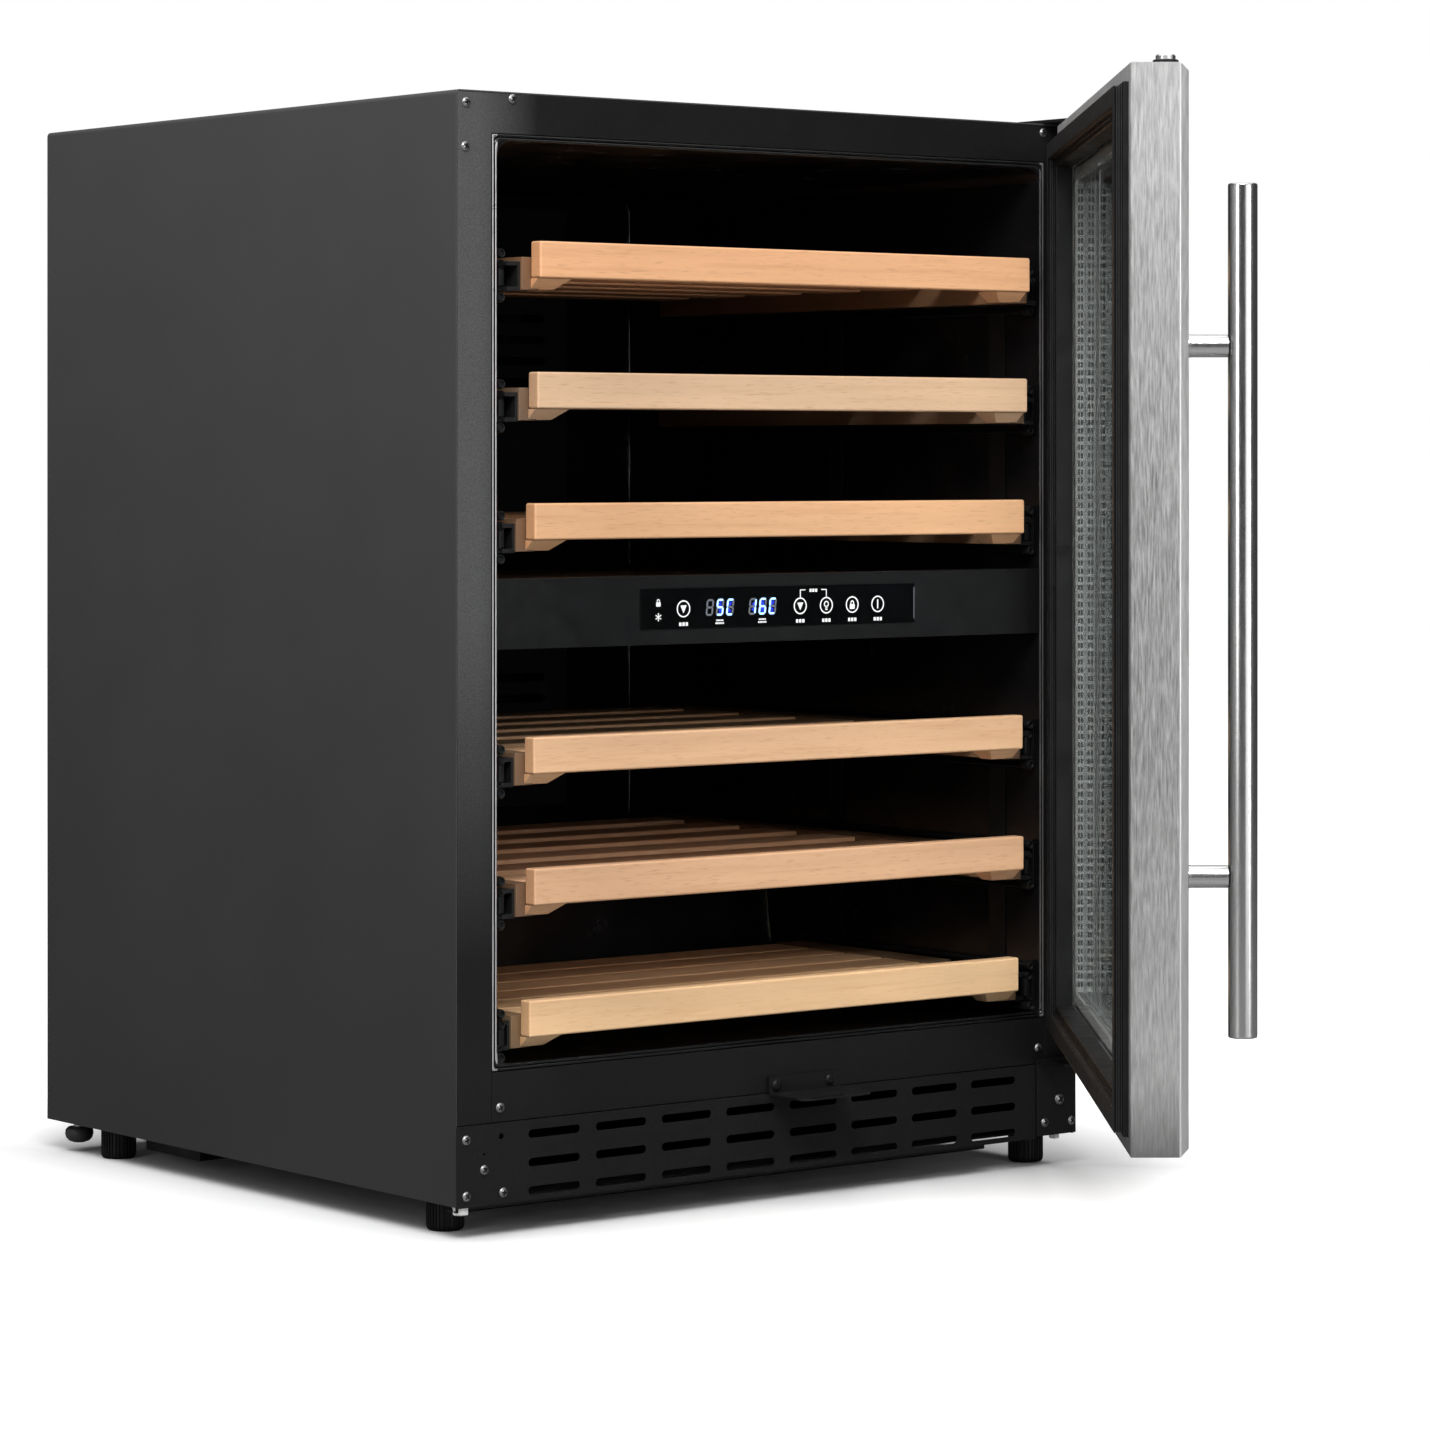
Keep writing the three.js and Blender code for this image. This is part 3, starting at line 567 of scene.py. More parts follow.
def piece(name, body, slot, bm, look=None, replaces=(), at=None):
    """Makes a mesh in millimetres into a named piece that rides on a body."""
    mesh = bpy.data.meshes.new(name)
    bm.to_mesh(mesh)
    bm.free()
    mesh.transform(Matrix.Scale(MM, 4))
    mesh.materials.append(look or LOOKS[slot])
    mesh.shade_smooth()
    mesh.set_sharp_from_angle(angle=SMOOTH)
    obj = placed(name, mesh)
    if at is not None:
        obj.matrix_world = at
    weigh_normals(obj)
    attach(obj, body)
    if replaces:
        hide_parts(*replaces)
    return obj


# --- CAD nodes that keep their own shape ---
EASED_EDGE, WELD_GAP = 0.35, 0.01


def dress_nodes():
    """Each CAD node takes its slot's look, welded, with its edges eased a little."""
    for name, obj in frame["nodes"].items():
        slot = obj.material_slots[0].material.name.split(".")[0]
        obj.material_slots[0].material = LOOKS[slot]
        weld = obj.modifiers.new("weld", "WELD")
        weld.merge_threshold = WELD_GAP * MM
        if slot != "clear_glass":
            edge = obj.modifiers.new("edge", "BEVEL")
            edge.width = EASED_EDGE * MM
            edge.segments = 2
            edge.limit_method = "ANGLE"
            edge.angle_limit = math.radians(30)
            edge.harden_normals = False
            weigh_normals(obj)


dress_nodes()


# --- cabinet ---
FRONT = span("front_frame")[0].y


def casing():
    """One bent sheet for the two sides and the top, with rounded bends."""
    low, high = span("outer_casing")
    sheet, bend = 1.2, 3.5
    outer = arc((high.x - bend, high.z - bend), bend, 0, 90, 8)
    outer += arc((low.x + bend, high.z - bend), bend, 90, 180, 8)
    inner = arc((low.x + bend, high.z - bend), bend - sheet, 180, 90, 8)
    inner += arc((high.x - bend, high.z - bend), bend - sheet, 90, 0, 8)
    outline = [(high.x, low.z), *outer, (low.x, low.z)]
    outline += [(low.x + sheet, low.z), *inner, (high.x - sheet, low.z)]
    bm = plate([outline], (low.y, high.y), 0.25)
    piece("casing", "cabinet", "casing_coat", bm, replaces=["outer_casing"])


def liner():
    """The moulded tub: double bead round its mouth, rounded corners, step at the back."""
    low, high = span("inner_liner")
    wall, deep_corner, rise_full = 4.7, 13.0, 92.1

    def bead(start, steps):
        turns = [math.pi * i / 8 for i in range(steps)]
        return [(start - 1.15 * math.cos(t), 1.15 - 1.3 * math.sin(t)) for t in turns]

    beads = [(0.0, 4.5), (0.0, 1.3), *bead(1.15, 9), (2.55, 1.5), *bead(3.75, 8)]
    beads += [(wall, 2.0), (wall, 5.0)]

    def ring(inset, y, floor_rise=0.0):
        radius = 1.0 + (deep_corner - 1.0) * min(inset / wall, 1.0) ** 2
        edge = (low.x + inset, high.x - inset, low.z + inset + floor_rise - 1.9 * (inset >= wall))
        points = round_rectangle(*edge, high.z - inset, radius, 7)
        return [(x, y, z) for x, z in points]

    front = low.y - 0.2
    hump = [(328.0, 0.0), (331.0, 3.0), (345.0, 90.0), (349.0, rise_full)]
    back = high.y - 2.2
    inside = [ring(inset, front + y) for inset, y in beads]
    inside += [ring(wall, front + y, rise) for y, rise in hump]
    corners = [(wall, back - 6), (wall + 1.5, back - 1.5), (wall + 5, back)]
    inside += [ring(inset, y, rise_full) for inset, y in corners]
    shell = 2.2
    outside = [ring(wall - shell, high.y, rise_full)]
    outside += [ring(wall - shell, front + y, rise) for y, rise in reversed(hump)]
    outside += [ring(wall - shell, front + 4.6)]
    bm = loops_to_solid(list(reversed(inside)) + list(reversed(outside)))
    piece("liner_tub", "cabinet", "liner_plastic", bm, replaces=["inner_liner"])


casing()
liner()


# --- shelves ---
def shelf(k):
    """Front board, side rails with a lip, slats and corner blocks, all of beech."""
    deck, body = f"shelf_{k}_deck", f"shelf_{k}"
    low, high = span(deck)
    half, tall, thick = 236.0, 26.3, 12.0
    bottom = low.z + 8.5
    slot = f"beech_{k}"

    board = rounded(block((-half, half), (low.y, low.y + thick), (bottom, bottom + tall)), 1.6, 4)
    piece(f"{body}_front_board", body, slot, board, replaces=[deck])

    # the rails take their shelf's wood darkened as painted shade
    shaded_rail_look = LOOKS[f"beech_{k}_rail"]
    for side, name in ((-1, "left"), (1, "right")):
        rail_top = low.z + 23.5

        def strip(near, far, base, start, edge):
            outline = [(near, base), (far, base), (far, rail_top), (near, rail_top)]
            return plate([[(side * x, z) for x, z in outline]], (start, high.y), edge)

        web = strip(228, 243.5, low.z, low.y + thick + 0.3, 0.9)
        lip = strip(242, 255, low.z + 20.5, low.y + thick + 90, 0.6)
        piece(f"{body}_{name}_rail", body, slot, merged(web, lip), shaded_rail_look)

        def corner_ring(z, lean):
            near, left, right = low.y + 4 + lean, 235.5, 204.5 + 1.1 * lean
            ring = [(left, near), (left, low.y + 26), (right, low.y + 26), (right, near)]
            return [(side * x, y, z) for x, y in ring]

        corner = loops_to_solid([corner_ring(bottom - 0.3, 0), corner_ring(low.z + 0.5, 9)])
        piece(f"{body}_{name}_corner_block", body, slot, rounded(corner, 0.5, 2))

    wide, top, count = 42.0, bottom + 14.0, 6
    room = (high.y - low.y - thick - count * wide) / count
    slats = []
    for i in range(count):
        start = low.y + thick + room * (i + 1) + wide * i - 0.5
        slats.append(rounded(block((-227.6, 227.6), (start, start + wide), (top - 9, top)), 1.2, 3))
    piece(f"{body}_slats", body, slot, merged(*slats))


for k in SHELVES:
    shelf(k)


# --- slides and their plastic end clips ---
def end_clips(zone, side, shelves):
    """Rounded stops at the front end of each fixed channel, top and bottom."""
    low, high = span(f"{zone}_{side}_carrier")
    wall = low.x if side == "left" else high.x
    sign = -1 if side == "left" else 1
    parts = []

    def knob(inset, z, radius, deep):
        """A short turned stud that points to the front."""
        rim = [(radius * 0.45, deep - 1.4), (radius * 0.62, deep - 0.2), (radius * 0.8, deep)]
        stud = turned([(radius, 0), (radius, deep - 1.2), *reversed(rim)], 28)
        facing = Matrix.Rotation(math.pi / 2, 4, "X")
        place = Matrix.Translation((wall - sign * inset, low.y + 6, z))
        parts.append(moved(stud, place @ facing))

    for k in shelves:
        slide = span(f"shelf_{k}_{side}_slide")
        top, bottom = slide[1].z + 5.8, slide[0].z - 4.4
        knob(6.0, top, 3.6, 9.0)
        knob(6.8, top - 7.8, 3.4, 8.0)
        knob(5.6, bottom, 3.8, 9.0)
        knob(5.0, bottom + 6.6, 2.6, 7.0)
        reach = sorted((wall - sign * 4.6, wall - sign * 10.2))
        bar_z = (bottom + 7.5, top - 9.5)
        parts.append(rounded(block(reach, (low.y - 1.0, low.y + 5), bar_z), 1.5, 4))
        back = sorted((wall - sign * 0.4, wall - sign * 2.2))
        parts.append(rounded(block(back, (low.y + 0.5, low.y + 6), (bottom, top)), 0.7, 2))
    piece(f"{zone}_{side}_end_clips", "cabinet", "black_plastic", merged(*parts))


for zone, shelves in (("upper", (1, 2, 3)), ("lower", (4, 5, 6))):
    for side in ("left", "right"):
        end_clips(zone, side, shelves)


# --- screws ---
def crossed(long, wide, first, second):
    """Two bars crossed about Z, each between its own two heights."""
    return merged(block((-long, long), (-wide, wide), first),
                  block((-wide, wide), (-long, long), second))


def pan_head(radius, height):
    """A domed head with a cross recess, its seat at Z = 0 and its dome towards +Z."""
    dome = [(radius - 0.15, 0.0), (radius, 0.35)]
    dome += [(radius * math.cos(t), 0.35 + (height - 0.35) * math.sin(t))
             for t in [math.radians(a) for a in (15, 32, 50, 66, 80)]]
    bm = turned(dome, 36)
    long, wide, deep = radius * 0.62, radius * 0.2, height * 0.85
    head, cross = bpy.data.meshes.new("head"), bpy.data.meshes.new("cross")
    bm.to_mesh(head)
    bm.free()
    bars = crossed(long, wide, (height - deep, height + 1), (height - deep - 0.02, height + 1.1))
    bars.to_mesh(cross)
    bars.free()
    keep, tool = placed("head", head), placed("cross", cross)
    cut = keep.modifiers.new("recess", "BOOLEAN")
    cut.object = tool
    cut.operation = "DIFFERENCE"
    cut.solver = "EXACT"
    cut.use_self = True
    depsgraph = bpy.context.evaluated_depsgraph_get()
    made = bpy.data.meshes.new_from_object(keep.evaluated_get(depsgraph))
    bm = bmesh.new()
    bm.from_mesh(made)
    for obj in (keep, tool):
        bpy.data.objects.remove(obj)
    for mesh in (head, cross, made):
        bpy.data.meshes.remove(mesh)
    return bm


def screws(name, body, slot, places, radius=3.6, height=2.0, facing="-Y", look=None, at=None):
    """One piece of several screws, each (x, y, z, turn in degrees), heads facing one way."""
    turn = Matrix.Rotation({"-Y": math.pi / 2, "Y": -math.pi / 2}[facing], 4, "X")
    seats = []
    for x, y, z, roll in places:
        spin = Matrix.Rotation(math.radians(roll), 4, "Z")
        seats.append(Matrix.Translation((x, y, z)) @ turn @ spin)
    bm = copies(lambda: pan_head(radius, height), seats)
    piece(name, body, slot, bm, look, at=at)
    long, wide, top = radius * 0.6, radius * 0.19, height * 0.72

    floors = copies(
        lambda: crossed(long, wide, (height * 0.2, top), (height * 0.2, top - 0.02)), seats
    )
    piece(f"{name}_recesses", body, slot, floors, RECESS, at=at)


LEFT = span("outer_casing")[0].x


def cabinet_screws():
    """Every screw of the cabinet; the places are millimetres from its left side."""
    def row(name, y, places, slot="zinc", look=DULL_ZINC, **head):
        screws(name, "cabinet", slot, [(LEFT + x, y, z, a) for x, z, a in places], look=look, **head)

    upper = [(8.7, 811, 12), (49.4, 815, 40), (8, 779.6, 65), (562.6, 813, 20)]
    row("frame_screws", FRONT, [*upper, (38.4, 93, 30), (557.3, 95, 70)])
    grille_at = [(7.8, 72.5, 15), (8, 32.5, 50), (40.2, 32.4, 80), (23.5, 50, 33)]
    row("grille_screws", span("kick_grille")[0].y, grille_at)
    catch_face = span("lock_catch")[1].y - 1.4
    catch_at = [(290.6, 88.5, 20), (342.3, 88.5, 60)]
    row("catch_screws", catch_face, catch_at, "frame_coat", None, radius=4.4, height=2.6)
    plate_face = span("bottom_hinge_bracket")[1].y - 2.5
    row("hinge_screws", plate_face, [(561.8, 36.6, 10), (590.0, 35.7, 55)])
    row("hinge_bolt", plate_face, [(577, 53.7, 35)], radius=4.6, height=2.8)
    back = span("back_panel")[1].y
    columns, rows = (-285, -95, 95, 285), (205, 410, 610, 805)
    edge = [(x, back, z, 7 * x + z)
            for x in columns for z in rows if abs(x) > 200 or z in (rows[0], rows[-1])]
    edge += [(x, back, z, x) for x in (columns[0], columns[-1]) for z in (45, 175)]
    screws("back_screws", "cabinet", "zinc", edge, 3.4, 2.0, "Y")


cabinet_screws()


# --- control panel ---
SEGMENTS = {"5": "afgcd", "1": "bc", "6": "afgcde", "C": "afed", " ": ""}


def segment_outlines(x, z, width, height, names, thick=1.45, lean=0.12):
    """Seven-segment bars with pointed ends; x is the left edge and z the bottom."""
    half, mid = thick / 2, height / 2
    across = {"a": height - half, "g": mid, "d": half}
    upright = {"f": (half, mid), "b": (width - half, mid), "e": (half, 0), "c": (width - half, 0)}
    made = []
    for name in names:
        if name in across:
            y = across[name]
            points = [(half * 1.25, y), (thick * 1.1, y + half), (width - thick * 1.1, y + half),
                      (width - half * 1.25, y), (width - thick * 1.1, y - half),
                      (thick * 1.1, y - half)]
        else:
            a, b = upright[name]
            low, high = b + half * 1.2, b + mid - half * 0.2
            low, high = (low, high) if b == 0 else (low - half, high - half)
            points = [(a, low), (a + half, low + half), (a + half, high - half), (a, high),
                      (a - half, high - half), (a - half, low + half)]
        made.append([(x + px + py * lean, z + py) for px, py in points])
    return made


def bar(x, z, width, height):
    return [(x, z), (x + width, z), (x + width, z + height), (x, z + height)]


def label(x, z, count, height):
    """A row of plain blocks in place of a printed word, centred on x."""
    wide, pitch = height * 0.8, height * 1.15
    start = x - (pitch * (count - 1) + wide) / 2
    return [bar(start + pitch * i, z, wide, height) for i in range(count)]


def padlock(x, z, size):
    """Body and shackle, in a square of the given size centred on (x, z)."""
    body = round_rectangle(x - size * 0.36, x + size * 0.36, z - size * 0.5, z + size * 0.06,
                           size * 0.07, 3)
    outer, inner = size * 0.26, size * 0.14
    hoop = [(x + outer, z + size * 0.07), *arc((x, z + size * 0.22), outer, 0, 180, 12),
            (x - outer, z + size * 0.07), (x - inner, z + size * 0.07),
            *arc((x, z + size * 0.22), inner, 180, 0, 12), (x + inner, z + size * 0.07)]
    return [body, hoop]


def snowflake(x, z, size):
    arms = []
    for i in range(3):
        turn = math.radians(90 + 60 * i)
        c, s = math.cos(turn), math.sin(turn)
        long, wide = size / 2, size * 0.06
        corners = ((-long, -wide), (long, -wide), (long, wide), (-long, wide))
        arms.append([(x + a * c - b * s, z + a * s + b * c) for a, b in corners])
    return arms


def lamp(x, z, size):
    """A bulb outline over its cap."""
    glass = [arc((x, z + size * 0.12), size * r, -55, 235, 18) for r in (0.32, 0.21)]
    cap = [bar(x - size * 0.14, z - size * down, size * 0.28, size * 0.1) for down in (0.48, 0.32)]
    return glass + cap


def panel():
    low, high = span("control_lens")
    face = low.y
    window = round_rectangle(low.x, high.x, low.z, high.z, 1.2, 5)
    lens = plate([window], (low.y, high.y), 0.35)
    piece("lens_window", "cabinet", "lens", lens, replaces=["control_lens"])

    ink = (face - 0.16, face - 0.01)
    key_z, radius = low.z + 14.7, 6.3
    keys = {"set_upper": 204.4, "set_lower": 315.7, "light": 341.2, "lock": 366.7, "power": 392.0}
    outlines = []
    for name, place in keys.items():
        x = LEFT + place
        outlines += [circle(x, key_z, radius, 40), circle(x, key_z, radius - 0.95, 40)]
        if name.startswith("set"):
            outlines.append([(x - 2.9, key_z + 2.5), (x, key_z - 3.2), (x + 2.9, key_z + 2.5)])
        elif name == "light":
            outlines += lamp(x, key_z, 7.4)
        elif name == "lock":
            outlines += padlock(x, key_z, 6.6)
        else:
            outlines.append(bar(x - 0.55, key_z - 3.4, 1.1, 6.8))
        outlines += label(x, key_z - 12.6, 3, 2.6)
    icon_x = LEFT + 181
    outlines += padlock(icon_x, low.z + 19.6, 5.6)
    outlines += snowflake(icon_x, low.z + 9.0, 6.0)
    link_z = key_z + radius + 6.0
    a, b = LEFT + keys["set_lower"], LEFT + keys["light"]
    for x, inward in ((a, 1), (b, -1)):
        outlines.append([(x - inward * 0.3, key_z + radius + 0.2), (x - inward * 0.3, link_z),
                         (x + inward * 5.0, link_z), (x + inward * 5.0, link_z - 0.7),
                         (x + inward * 0.4, link_z - 0.7), (x + inward * 0.4, key_z + radius + 0.2)])
    outlines += label((a + b) / 2, link_z - 2.0, 3, 2.4)
    for x in (LEFT + 238.5, LEFT + 279):
        outlines += label(x, low.z + 4.9, 5, 1.2) + label(x, low.z + 2.8, 6, 1.2)
    piece("panel_symbols", "cabinet", "lens", plate(outlines, ink, 0.02), INK)

    tall, wide, step = 12.4, 6.8, 9.6
    lit, unlit, halo = [], [], []
    for start, shown in ((LEFT + 225, " 5C"), (LEFT + 265.6, "16C")):
        for i, digit in enumerate(shown):
            x, z = start + i * step, low.z + 9.0
            names = SEGMENTS[digit]
            lit += segment_outlines(x, z, wide, tall, names)
            halo += segment_outlines(x, z, wide, tall, names, 4.2)
            unlit += segment_outlines(x, z, wide, tall, [n for n in "abcdefg" if n not in names])
    piece("display_lit", "cabinet", "lens", plate(lit, (ink[0] - 0.05, ink[1] - 0.05), 0.02), LIT)
    for i, outline in enumerate(halo):
        depth = face - 0.02 - 0.002 * i
        halo[i] = plate([outline], (depth - 0.05, depth), 0.01)
    piece("display_halo", "cabinet", "lens", merged(*halo), HALO)
    unlit.append(bar(high.x - 1.3, low.z + 3, 0.7, 24))
    piece("display_unlit", "cabinet", "lens", plate(unlit, ink, 0.02), UNLIT)


panel()


# --- plinth: grille and lock catch ---
def grille():
    """Kick plate with three rows of eight round-ended slots and a set-back lip below it."""
    low, high = span("kick_grille")
    thick, pitch, long, tall, count = 1.2, 60.5, 46, 6, 8
    rows = (31.2, 51.6, 72.1)
    slots = [slot_outline((i - (count - 1) / 2) * pitch, z, long, tall, 12)
             for i in range(count) for z in rows]
    holes = [circle(LEFT + 38.7, 72.6, 2.2, 24), circle(LEFT + 23.5, 61, 0.9, 16)]
    lip_height = 3.5
    edge = low.z + lip_height
    face = round_rectangle(low.x, high.x, edge, high.z, 1.0, 3)
    front = plate([face, *slots, *holes], (low.y, low.y + thick), 0.25)
    across, set_back = (low.x + 2, high.x - 50), low.y + 4
    step = block(across, (low.y + thick, set_back + thick), (edge, edge + 0.7))
    lip = block(across, (set_back, set_back + thick), (low.z, edge + 0.6))
    hem = block(across, (set_back, high.y), (low.z, low.z + thick))
    back = [rounded(bm, 0.25, 2) for bm in (step, lip, hem)]
    piece("kick_plate", "cabinet", "frame_coat", merged(front, *back), replaces=["kick_grille"])


grille()


# --- feet, tray and what shows under the base ---
def feet():
    for end in ("front", "rear"):
        for side in ("left", "right"):
            node = f"{end}_{side}_foot"
            low, high = span(node)
            radius = (high.x - low.x) / 2
            profile = [(radius - 3.2, 0.0), (radius - 1.6, 0.5), (radius - 0.5, 1.8), (radius, 4.0)]
            profile += [(radius, high.z - 3.6), (radius - 0.4, high.z - 2.2)]
            bm = turned(profile, 240, 30, 1.1)
            cap = turned([(radius - 1.1, high.z - 2.3), (radius - 1.1, high.z - 0.3)], 64)
            bm = merged(bm, cap)
            moved(bm, Matrix.Translation(((low.x + high.x) / 2, (low.y + high.y) / 2, 0)))
            piece(f"{node}_ribbed", "cabinet", "black_plastic", bm, replaces=[node])


ROUGH_RUBBER = rubber_look("rough_rubber", (0.02, 0.02, 0.02))
STOP = (-283, 514)


def base_bolts():
    """Zinc hex heads that hold the base, and the rubber stop beside the rear left foot."""
    base = span("base_pan")[0].z
    heads = []
    places = ((-289.5, -26, 0.9), (286, -22, 0.6), (-268, 385, 0.75), (*STOP, 0.75))
    for x, y, scale in places:
        sides = [(5.8, -7.6), (6.8, -6.8), (6.8, -1.8), (7.6, -1.6), (7.6, 0.6)]
        head = turned([(r * scale, z * scale) for r, z in sides], 6)
        heads.append(moved(head, Matrix.Translation((x, y, base - 0.6))))
    piece("base_bolts", "cabinet", "zinc", merged(*heads), LOOKS["alloy"])
    stop = [(4.5, 8.0), (8.2, 9.2), (10.6, 12.0), (11.4, 15.0), (11.0, 18.0)]
    stop += [(9.0, 20.2), (5.5, 20.8)]
    bm = moved(turned(stop, 40), Matrix.Translation((*STOP, 0)))
    piece("rubber_stop", "cabinet", "gasket", bm, ROUGH_RUBBER)


feet()
base_bolts()


# --- door ---
D_LOW, D_HIGH = span("door_frame", IN_DOOR)
WINDOW = (D_LOW.x, D_HIGH.x, D_LOW.z, D_HIGH.z)


def door_piece(name, slot, bm, look=None, replaces=()):
    return piece(name, "door", slot, bm, look, replaces, DOOR)


def door_skin():
    """Folded stainless frame: bevelled front edge, side, and a narrow flange behind."""
    face, back = D_LOW.y, D_HIGH.y
    skin, flange, window = 1.5, 11.5, 48.0
    outside = [(window, face + 0.5), (window - 0.5, face), (5.6, face), (5.0, face + 0.25)]
    outside += [(0.25, face + 5.6), (0.0, face + 6.3), (0.0, back - 0.7), (0.2, back - 0.2)]
    outside += [(0.7, back), (flange, back), (flange, back - skin)]
    inside = [(skin + 0.2, back - skin), (skin, back - skin - 0.3), (skin, face + 6.9)]
    inside += [(6.1, face + skin), (window, face + skin)]
    bm = swept_frame(outside + inside, WINDOW)
    bevel = ((face + 0.3) * MM, (face + 5.95) * MM)
    # the door steel carries painted light: bright bevel, highlighted crease, pale ends and a painted
    # shade at the foot
    steel = brushed_look("door_steel", (0.58, 0.58, 0.577), 0.36, fold=bevel)
    door_piece("door_skin", "stainless", bm, steel, replaces=["door_frame"])


def inner_frame():
    """Black moulded frame behind the glass, with a fine groove round it."""
    low, high = span("door_inner_frame", IN_DOOR)
    outer, inner = 11.8, 33.8
    y0, y1 = low.y, high.y
    profile = [(outer, y0), (outer, y1 - 0.8), (outer + 0.3, y1 - 0.2), (outer + 0.9, y1)]
    profile += [(29.2, y1), (29.6, y1 - 0.5), (30.3, y1 - 0.5), (30.7, y1)]
    profile += [(inner - 1.0, y1), (inner - 0.3, y1 - 0.4), (inner, y1 - 1.1), (inner, y0)]
    bm = swept_frame(profile, WINDOW)
    door_piece("inner_door_frame", "black_plastic", bm, replaces=["door_inner_frame"])


def gasket():
    """Magnetic seal: flat foot, two bellows folds and a rounded magnet bead."""
    low, high = span("door_gasket", IN_DOOR)
    foot, tip = low.y, high.y
    outer, inner = 14.0, 28.0
    rise = tip - foot

    def bulge(inset, start, end, sign, steps=8):
        turns = [math.pi * i / steps for i in range(1, steps)]
        middle, half = (start + end) / 2, (end - start) / 2
        return [(inset + sign * 1.1 * math.sin(t), middle - half * math.cos(t)) for t in turns]

    a, b, c = foot + 0.9, foot + 0.9 + rise * 0.3, foot + 0.9 + rise * 0.58
    profile = [(outer, foot), (outer, a - 0.3), (outer + 1.6, a)]
    profile += bulge(outer + 1.6, a, b, -1) + [(outer + 1.9, b)]
    profile += bulge(outer + 1.6, b, c, -1) + [(outer + 1.9, c)]
    profile += [(outer + 0.6, c + 0.5), (outer + 0.2, c + 1.2), (outer + 0.6, tip - 0.5)]
    profile += [(outer + 1.4, tip), (inner - 1.6, tip), (inner - 0.7, tip - 0.5)]
    profile += [(inner - 0.4, c + 1.2), (inner - 0.8, c + 0.5), (inner - 2.0, c)]
    profile += list(reversed(bulge(inner - 1.7, b, c, 1))) + [(inner - 2.0, b)]
    profile += list(reversed(bulge(inner - 1.7, a, b, 1))) + [(inner - 1.7, a)]
    profile += [(inner, a - 0.3), (inner, foot)]
    bm = swept_frame(profile, WINDOW)
    door_piece("magnetic_gasket", "gasket", bm, replaces=["door_gasket"])


def panes():
    for node in ("door_outer_glass", "door_middle_glass", "door_inner_glass"):
        low, high = span(node, IN_DOOR)
        outline = round_rectangle(low.x, high.x, low.z, high.z, 1.5, 3)
        bm = plate([outline], (low.y, high.y), 0.4)
        pane = door_piece(node.replace("door_", "") + "_pane", "clear_glass", bm, replaces=[node])
        pane.visible_shadow = False
    # the printed black border that hides the pane edges from the front
    low, high = span("door_outer_glass", IN_DOOR)
    sheet = (low.x, high.x, low.z, high.z)
    border = [round_rectangle(*inset_by(sheet, 0.5), 1.2, 3)]
    border.append(round_rectangle(*inset_by(sheet, 20), 2.0, 6))
    bm = plate(border, (high.y + 0.02, high.y + 0.14), 0.02)
    door_piece("printed_glass_border", "lens", bm)


def spacer():
    """Hollow aluminium bars between the panes; their perforations for the drying beads are thin dark
    marks of painted shade.
    """
    low, high = span("glass_spacer", IN_DOOR)
    left, right, bottom, top = low.x, high.x, low.z, high.z
    width, pitch, margin = 10.0, 6.4, 4
    half_wide, half_long, half_thick = 0.85, 2.0, 0.05
    gaps = [(low.y, low.y + 8.0), (low.y + 11.0, high.y)]
    bars, hole_shades = [], []

    def cells(start, end):
        middle = start + width + 6
        while middle < end - width - margin:
            yield middle - half_long, middle + half_long
            middle += pitch

    for y0, y1 in gaps:
        profile = [(0, y0 + 0.6), (0, y1 - 0.6), (0.6, y1), (width - 1.2, y1)]
        profile += [(width - 0.5, y1 - 1.0), (width, y1 - 1.6), (width, y0 + 1.6)]
        profile += [(width - 0.5, y0 + 1.0), (width - 1.2, y0), (0.6, y0)]
        bars.append(swept_frame(profile, (left, right, bottom, top)))
        for row in (0.34, 0.66):
            y = y0 + (y1 - y0) * row
            across = (y - half_wide, y + half_wide)
            for x in (left + width, right - width):
                thin = (x - half_thick, x + half_thick)
                hole_shades += [block(thin, across, along) for along in cells(bottom, top)]
            for z in (bottom + width, top - width):
                thin = (z - half_thick, z + half_thick)
                hole_shades += [block(along, across, thin) for along in cells(left, right)]
    door_piece("glass_spacer_bars", "alloy", merged(*bars), replaces=["glass_spacer"])
    # painted shade laid where the perforations are
    door_piece("spacer_perforation_shade", "alloy", merged(*hole_shades), HOLE_SHADE)


door_skin()
inner_frame()
gasket()
panes()
spacer()


def handle():
    """Round bar with turned, chamfered ends, on two turned posts."""
    low, high = span("handle_bar", IN_DOOR)
    radius, x, y = (high.x - low.x) / 2, (high.x + low.x) / 2, (high.y + low.y) / 2
    ends = [(radius - 1.6, 0.0), (radius - 0.9, 0.12), (radius - 0.35, 0.45), (radius - 0.08, 0.95)]
    profile = [(0.6, 0.0), *ends, (radius, 1.6)]
    length = high.z - low.z
    profile += [(r, length - h) for r, h in reversed(profile)]
    bm = moved(turned(profile, 96), Matrix.Translation((x, y, low.z)))
    door_piece("handle_grip", "handle_steel", bm, replaces=["handle_bar"])
    for name in ("upper", "lower"):
        node = f"{name}_handle_post"
        a, b = span(node, IN_DOOR)
        r, deep = (b.x - a.x) / 2, b.y - a.y
        profile = [(r, 0.0), (r, deep - 3.4), (r + 0.2, deep - 3.1), (r + 0.2, deep - 0.3)]
        profile.append((r - 0.2, deep))
        turn = Matrix.Rotation(-math.pi / 2, 4, "X")
        place = Matrix.Translation(((a.x + b.x) / 2, a.y, (a.z + b.z) / 2))
        bm = moved(turned(profile, 64), place @ turn)
        door_piece(f"{name}_post", "handle_steel", bm, replaces=[node])


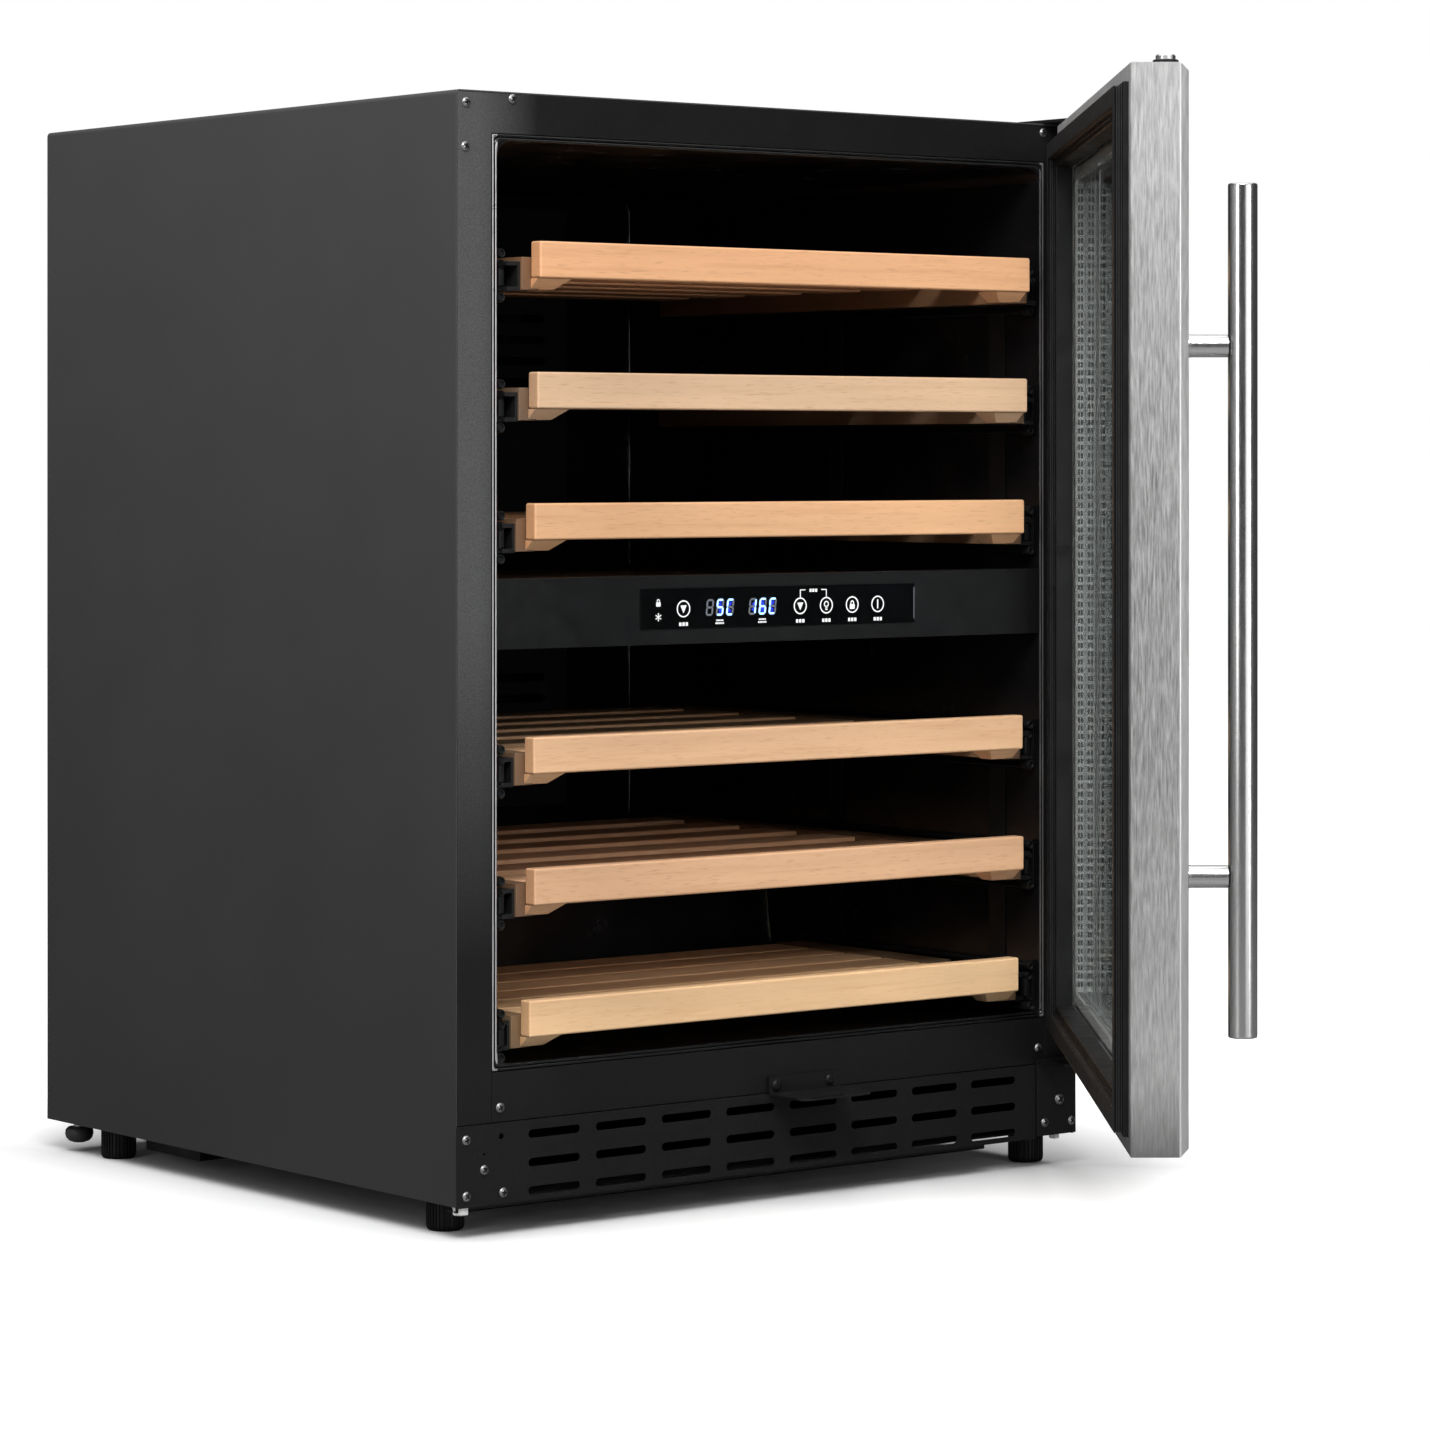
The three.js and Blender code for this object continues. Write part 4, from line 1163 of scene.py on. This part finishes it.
def hinge_plug():
    """Spare hinge hole at the free end of the door top, closed with a stepped plug."""
    x, y = D_LOW.x + 14.0, 0.0
    top = D_HIGH.z
    for name, slot, profile in (
        ("hinge_plug", "black_plastic", [(5.2, 0.0), (8.6, 0.0), (8.6, 1.9), (8.0, 2.5), (6.4, 2.7)]),
        ("hinge_plug_stem", "zinc", [(5.0, 2.6), (6.6, 2.7), (6.6, 5.0), (5.8, 5.9), (1.0, 6.0)]),
    ):
        place = Matrix.Translation((x, y, top))
        door_piece(name, slot, moved(turned(profile, 40), place))


def door_screws():
    """Small screws that hold the inner frame, on the face that meets the cabinet."""
    low, high = span("door_inner_frame", IN_DOOR)
    inset = 31.9
    xs = (low.x - 11.8 + inset, high.x + 11.8 - inset)
    places = [(x, high.y, z, z) for x in xs for z in (200, 458, 716)]
    screws("inner_frame_screws", "door", "frame_coat", places, 1.7, 0.9, "Y", at=DOOR)


handle()
hinge_plug()
door_screws()


# --- floor, light and camera ---
def stage():
    """A pale floor, lit up to white for the camera away from the cabinet's footprint."""
    floor = bpy.data.meshes.new("floor")
    bm = bmesh.new()
    bmesh.ops.create_circle(bm, cap_ends=True, segments=96, radius=9)
    bm.to_mesh(floor)
    bm.free()
    look = Look("floor", (0.92, 0.92, 0.92), 0.35, Specular_IOR_Level=0.3)
    axes = look.axes()
    low, high = span("outer_casing")
    reach = []
    for axis, a, b in (("X", low.x, high.x), ("Y", low.y, high.y)):
        offset = look.math("SUBTRACT", axes[axis], (a + b) / 2 * MM)
        reach.append(look.math("SUBTRACT", look.math("ABSOLUTE", offset), (b - a) / 2 * MM))
    beyond = look.math("MAXIMUM", *reach)
    path = look.tree.nodes.new("ShaderNodeLightPath").outputs["Is Camera Ray"]
    grain = look.drift(60, 4)
    bright = look.mix(grain, (0.91, 0.91, 0.91), (0.93, 0.93, 0.93))
    look.color(look.mix(path, (0.22, 0.22, 0.22), bright))
    fade = look.ramp(beyond, 0.0, 0.3, 0.0, 1.0)
    look.shader.inputs["Emission Color"].default_value = (1, 1, 1, 1)
    look.tree.links.new(look.math("MULTIPLY", fade, path), look.shader.inputs["Emission Strength"])
    floor.materials.append(look.material)
    placed("floor", floor)


def softbox(name, place, aim, size, power):
    light = bpy.data.lights.new(name, "AREA")
    light.shape = "RECTANGLE"
    light.size, light.size_y = size
    light.energy = power
    obj = placed(name, light)
    obj.location = place
    obj.rotation_euler = (Vector(aim) - Vector(place)).to_track_quat("-Z", "Y").to_euler()


BOUNCED_LEVEL = 0.06


def light():
    """Soft boxes, and a world that is white where seen straight and dim in reflections."""
    world = bpy.data.worlds.new("studio")
    scene.world = world
    world.use_nodes = True
    tree = world.node_tree
    background = tree.nodes["Background"]
    background.inputs["Color"].default_value = (1, 1, 1, 1)
    path = tree.nodes.new("ShaderNodeLightPath")
    bounced, straight = tree.nodes.new("ShaderNodeMath"), tree.nodes.new("ShaderNodeMath")
    bounced.operation, straight.operation = "ADD", "LESS_THAN"
    straight.inputs[1].default_value = 0.5
    level = tree.nodes.new("ShaderNodeMapRange")
    level.inputs["To Min"].default_value = BOUNCED_LEVEL
    level.inputs["To Max"].default_value = 1.0
    for source, target in (
        (path.outputs["Glossy Depth"], bounced.inputs[0]),
        (path.outputs["Diffuse Depth"], bounced.inputs[1]),
        (bounced.outputs["Value"], straight.inputs[0]),
        (straight.outputs["Value"], level.inputs["Value"]),
        (level.outputs["Result"], background.inputs["Strength"]),
    ):
        tree.links.new(source, target)
    softbox("key", (-1.9, -2.3, 3.0), (0, 0, 0.45), (2.0, 1.2), 150)
    softbox("front", (-0.4, -3.2, 0.9), (0, 0, 0.5), (1.2, 2.0), 12)
    softbox("left_strip", (-3.0, -0.7, 1.2), (0, 0, 0.5), (0.9, 2.0), 20)
    softbox("left_high", (-2.2, 0.5, 2.3), (-0.3, 0.1, 0.7), (1.2, 1.0), 16)
    softbox("right_strip", (0.5, -3.05, 0.8), (-0.1, 0, 0.5), (0.4, 1.8), 12)
    softbox("overhead", (0, -0.2, 3.2), (0, -0.2, 0), (4.5, 4.5), 110)


def camera():
    data = bpy.data.cameras.new("camera")
    data.lens = 117.29
    data.sensor_width = 36
    data.shift_y = -0.18
    obj = placed("camera", data)
    obj.location = (-2.2043, -2.7424, 0.5580)
    obj.rotation_euler = (math.radians(90), 0, math.radians(-38.31))
    scene.camera = obj


stage()
light()
camera()
scene.view_settings.view_transform = "Standard"
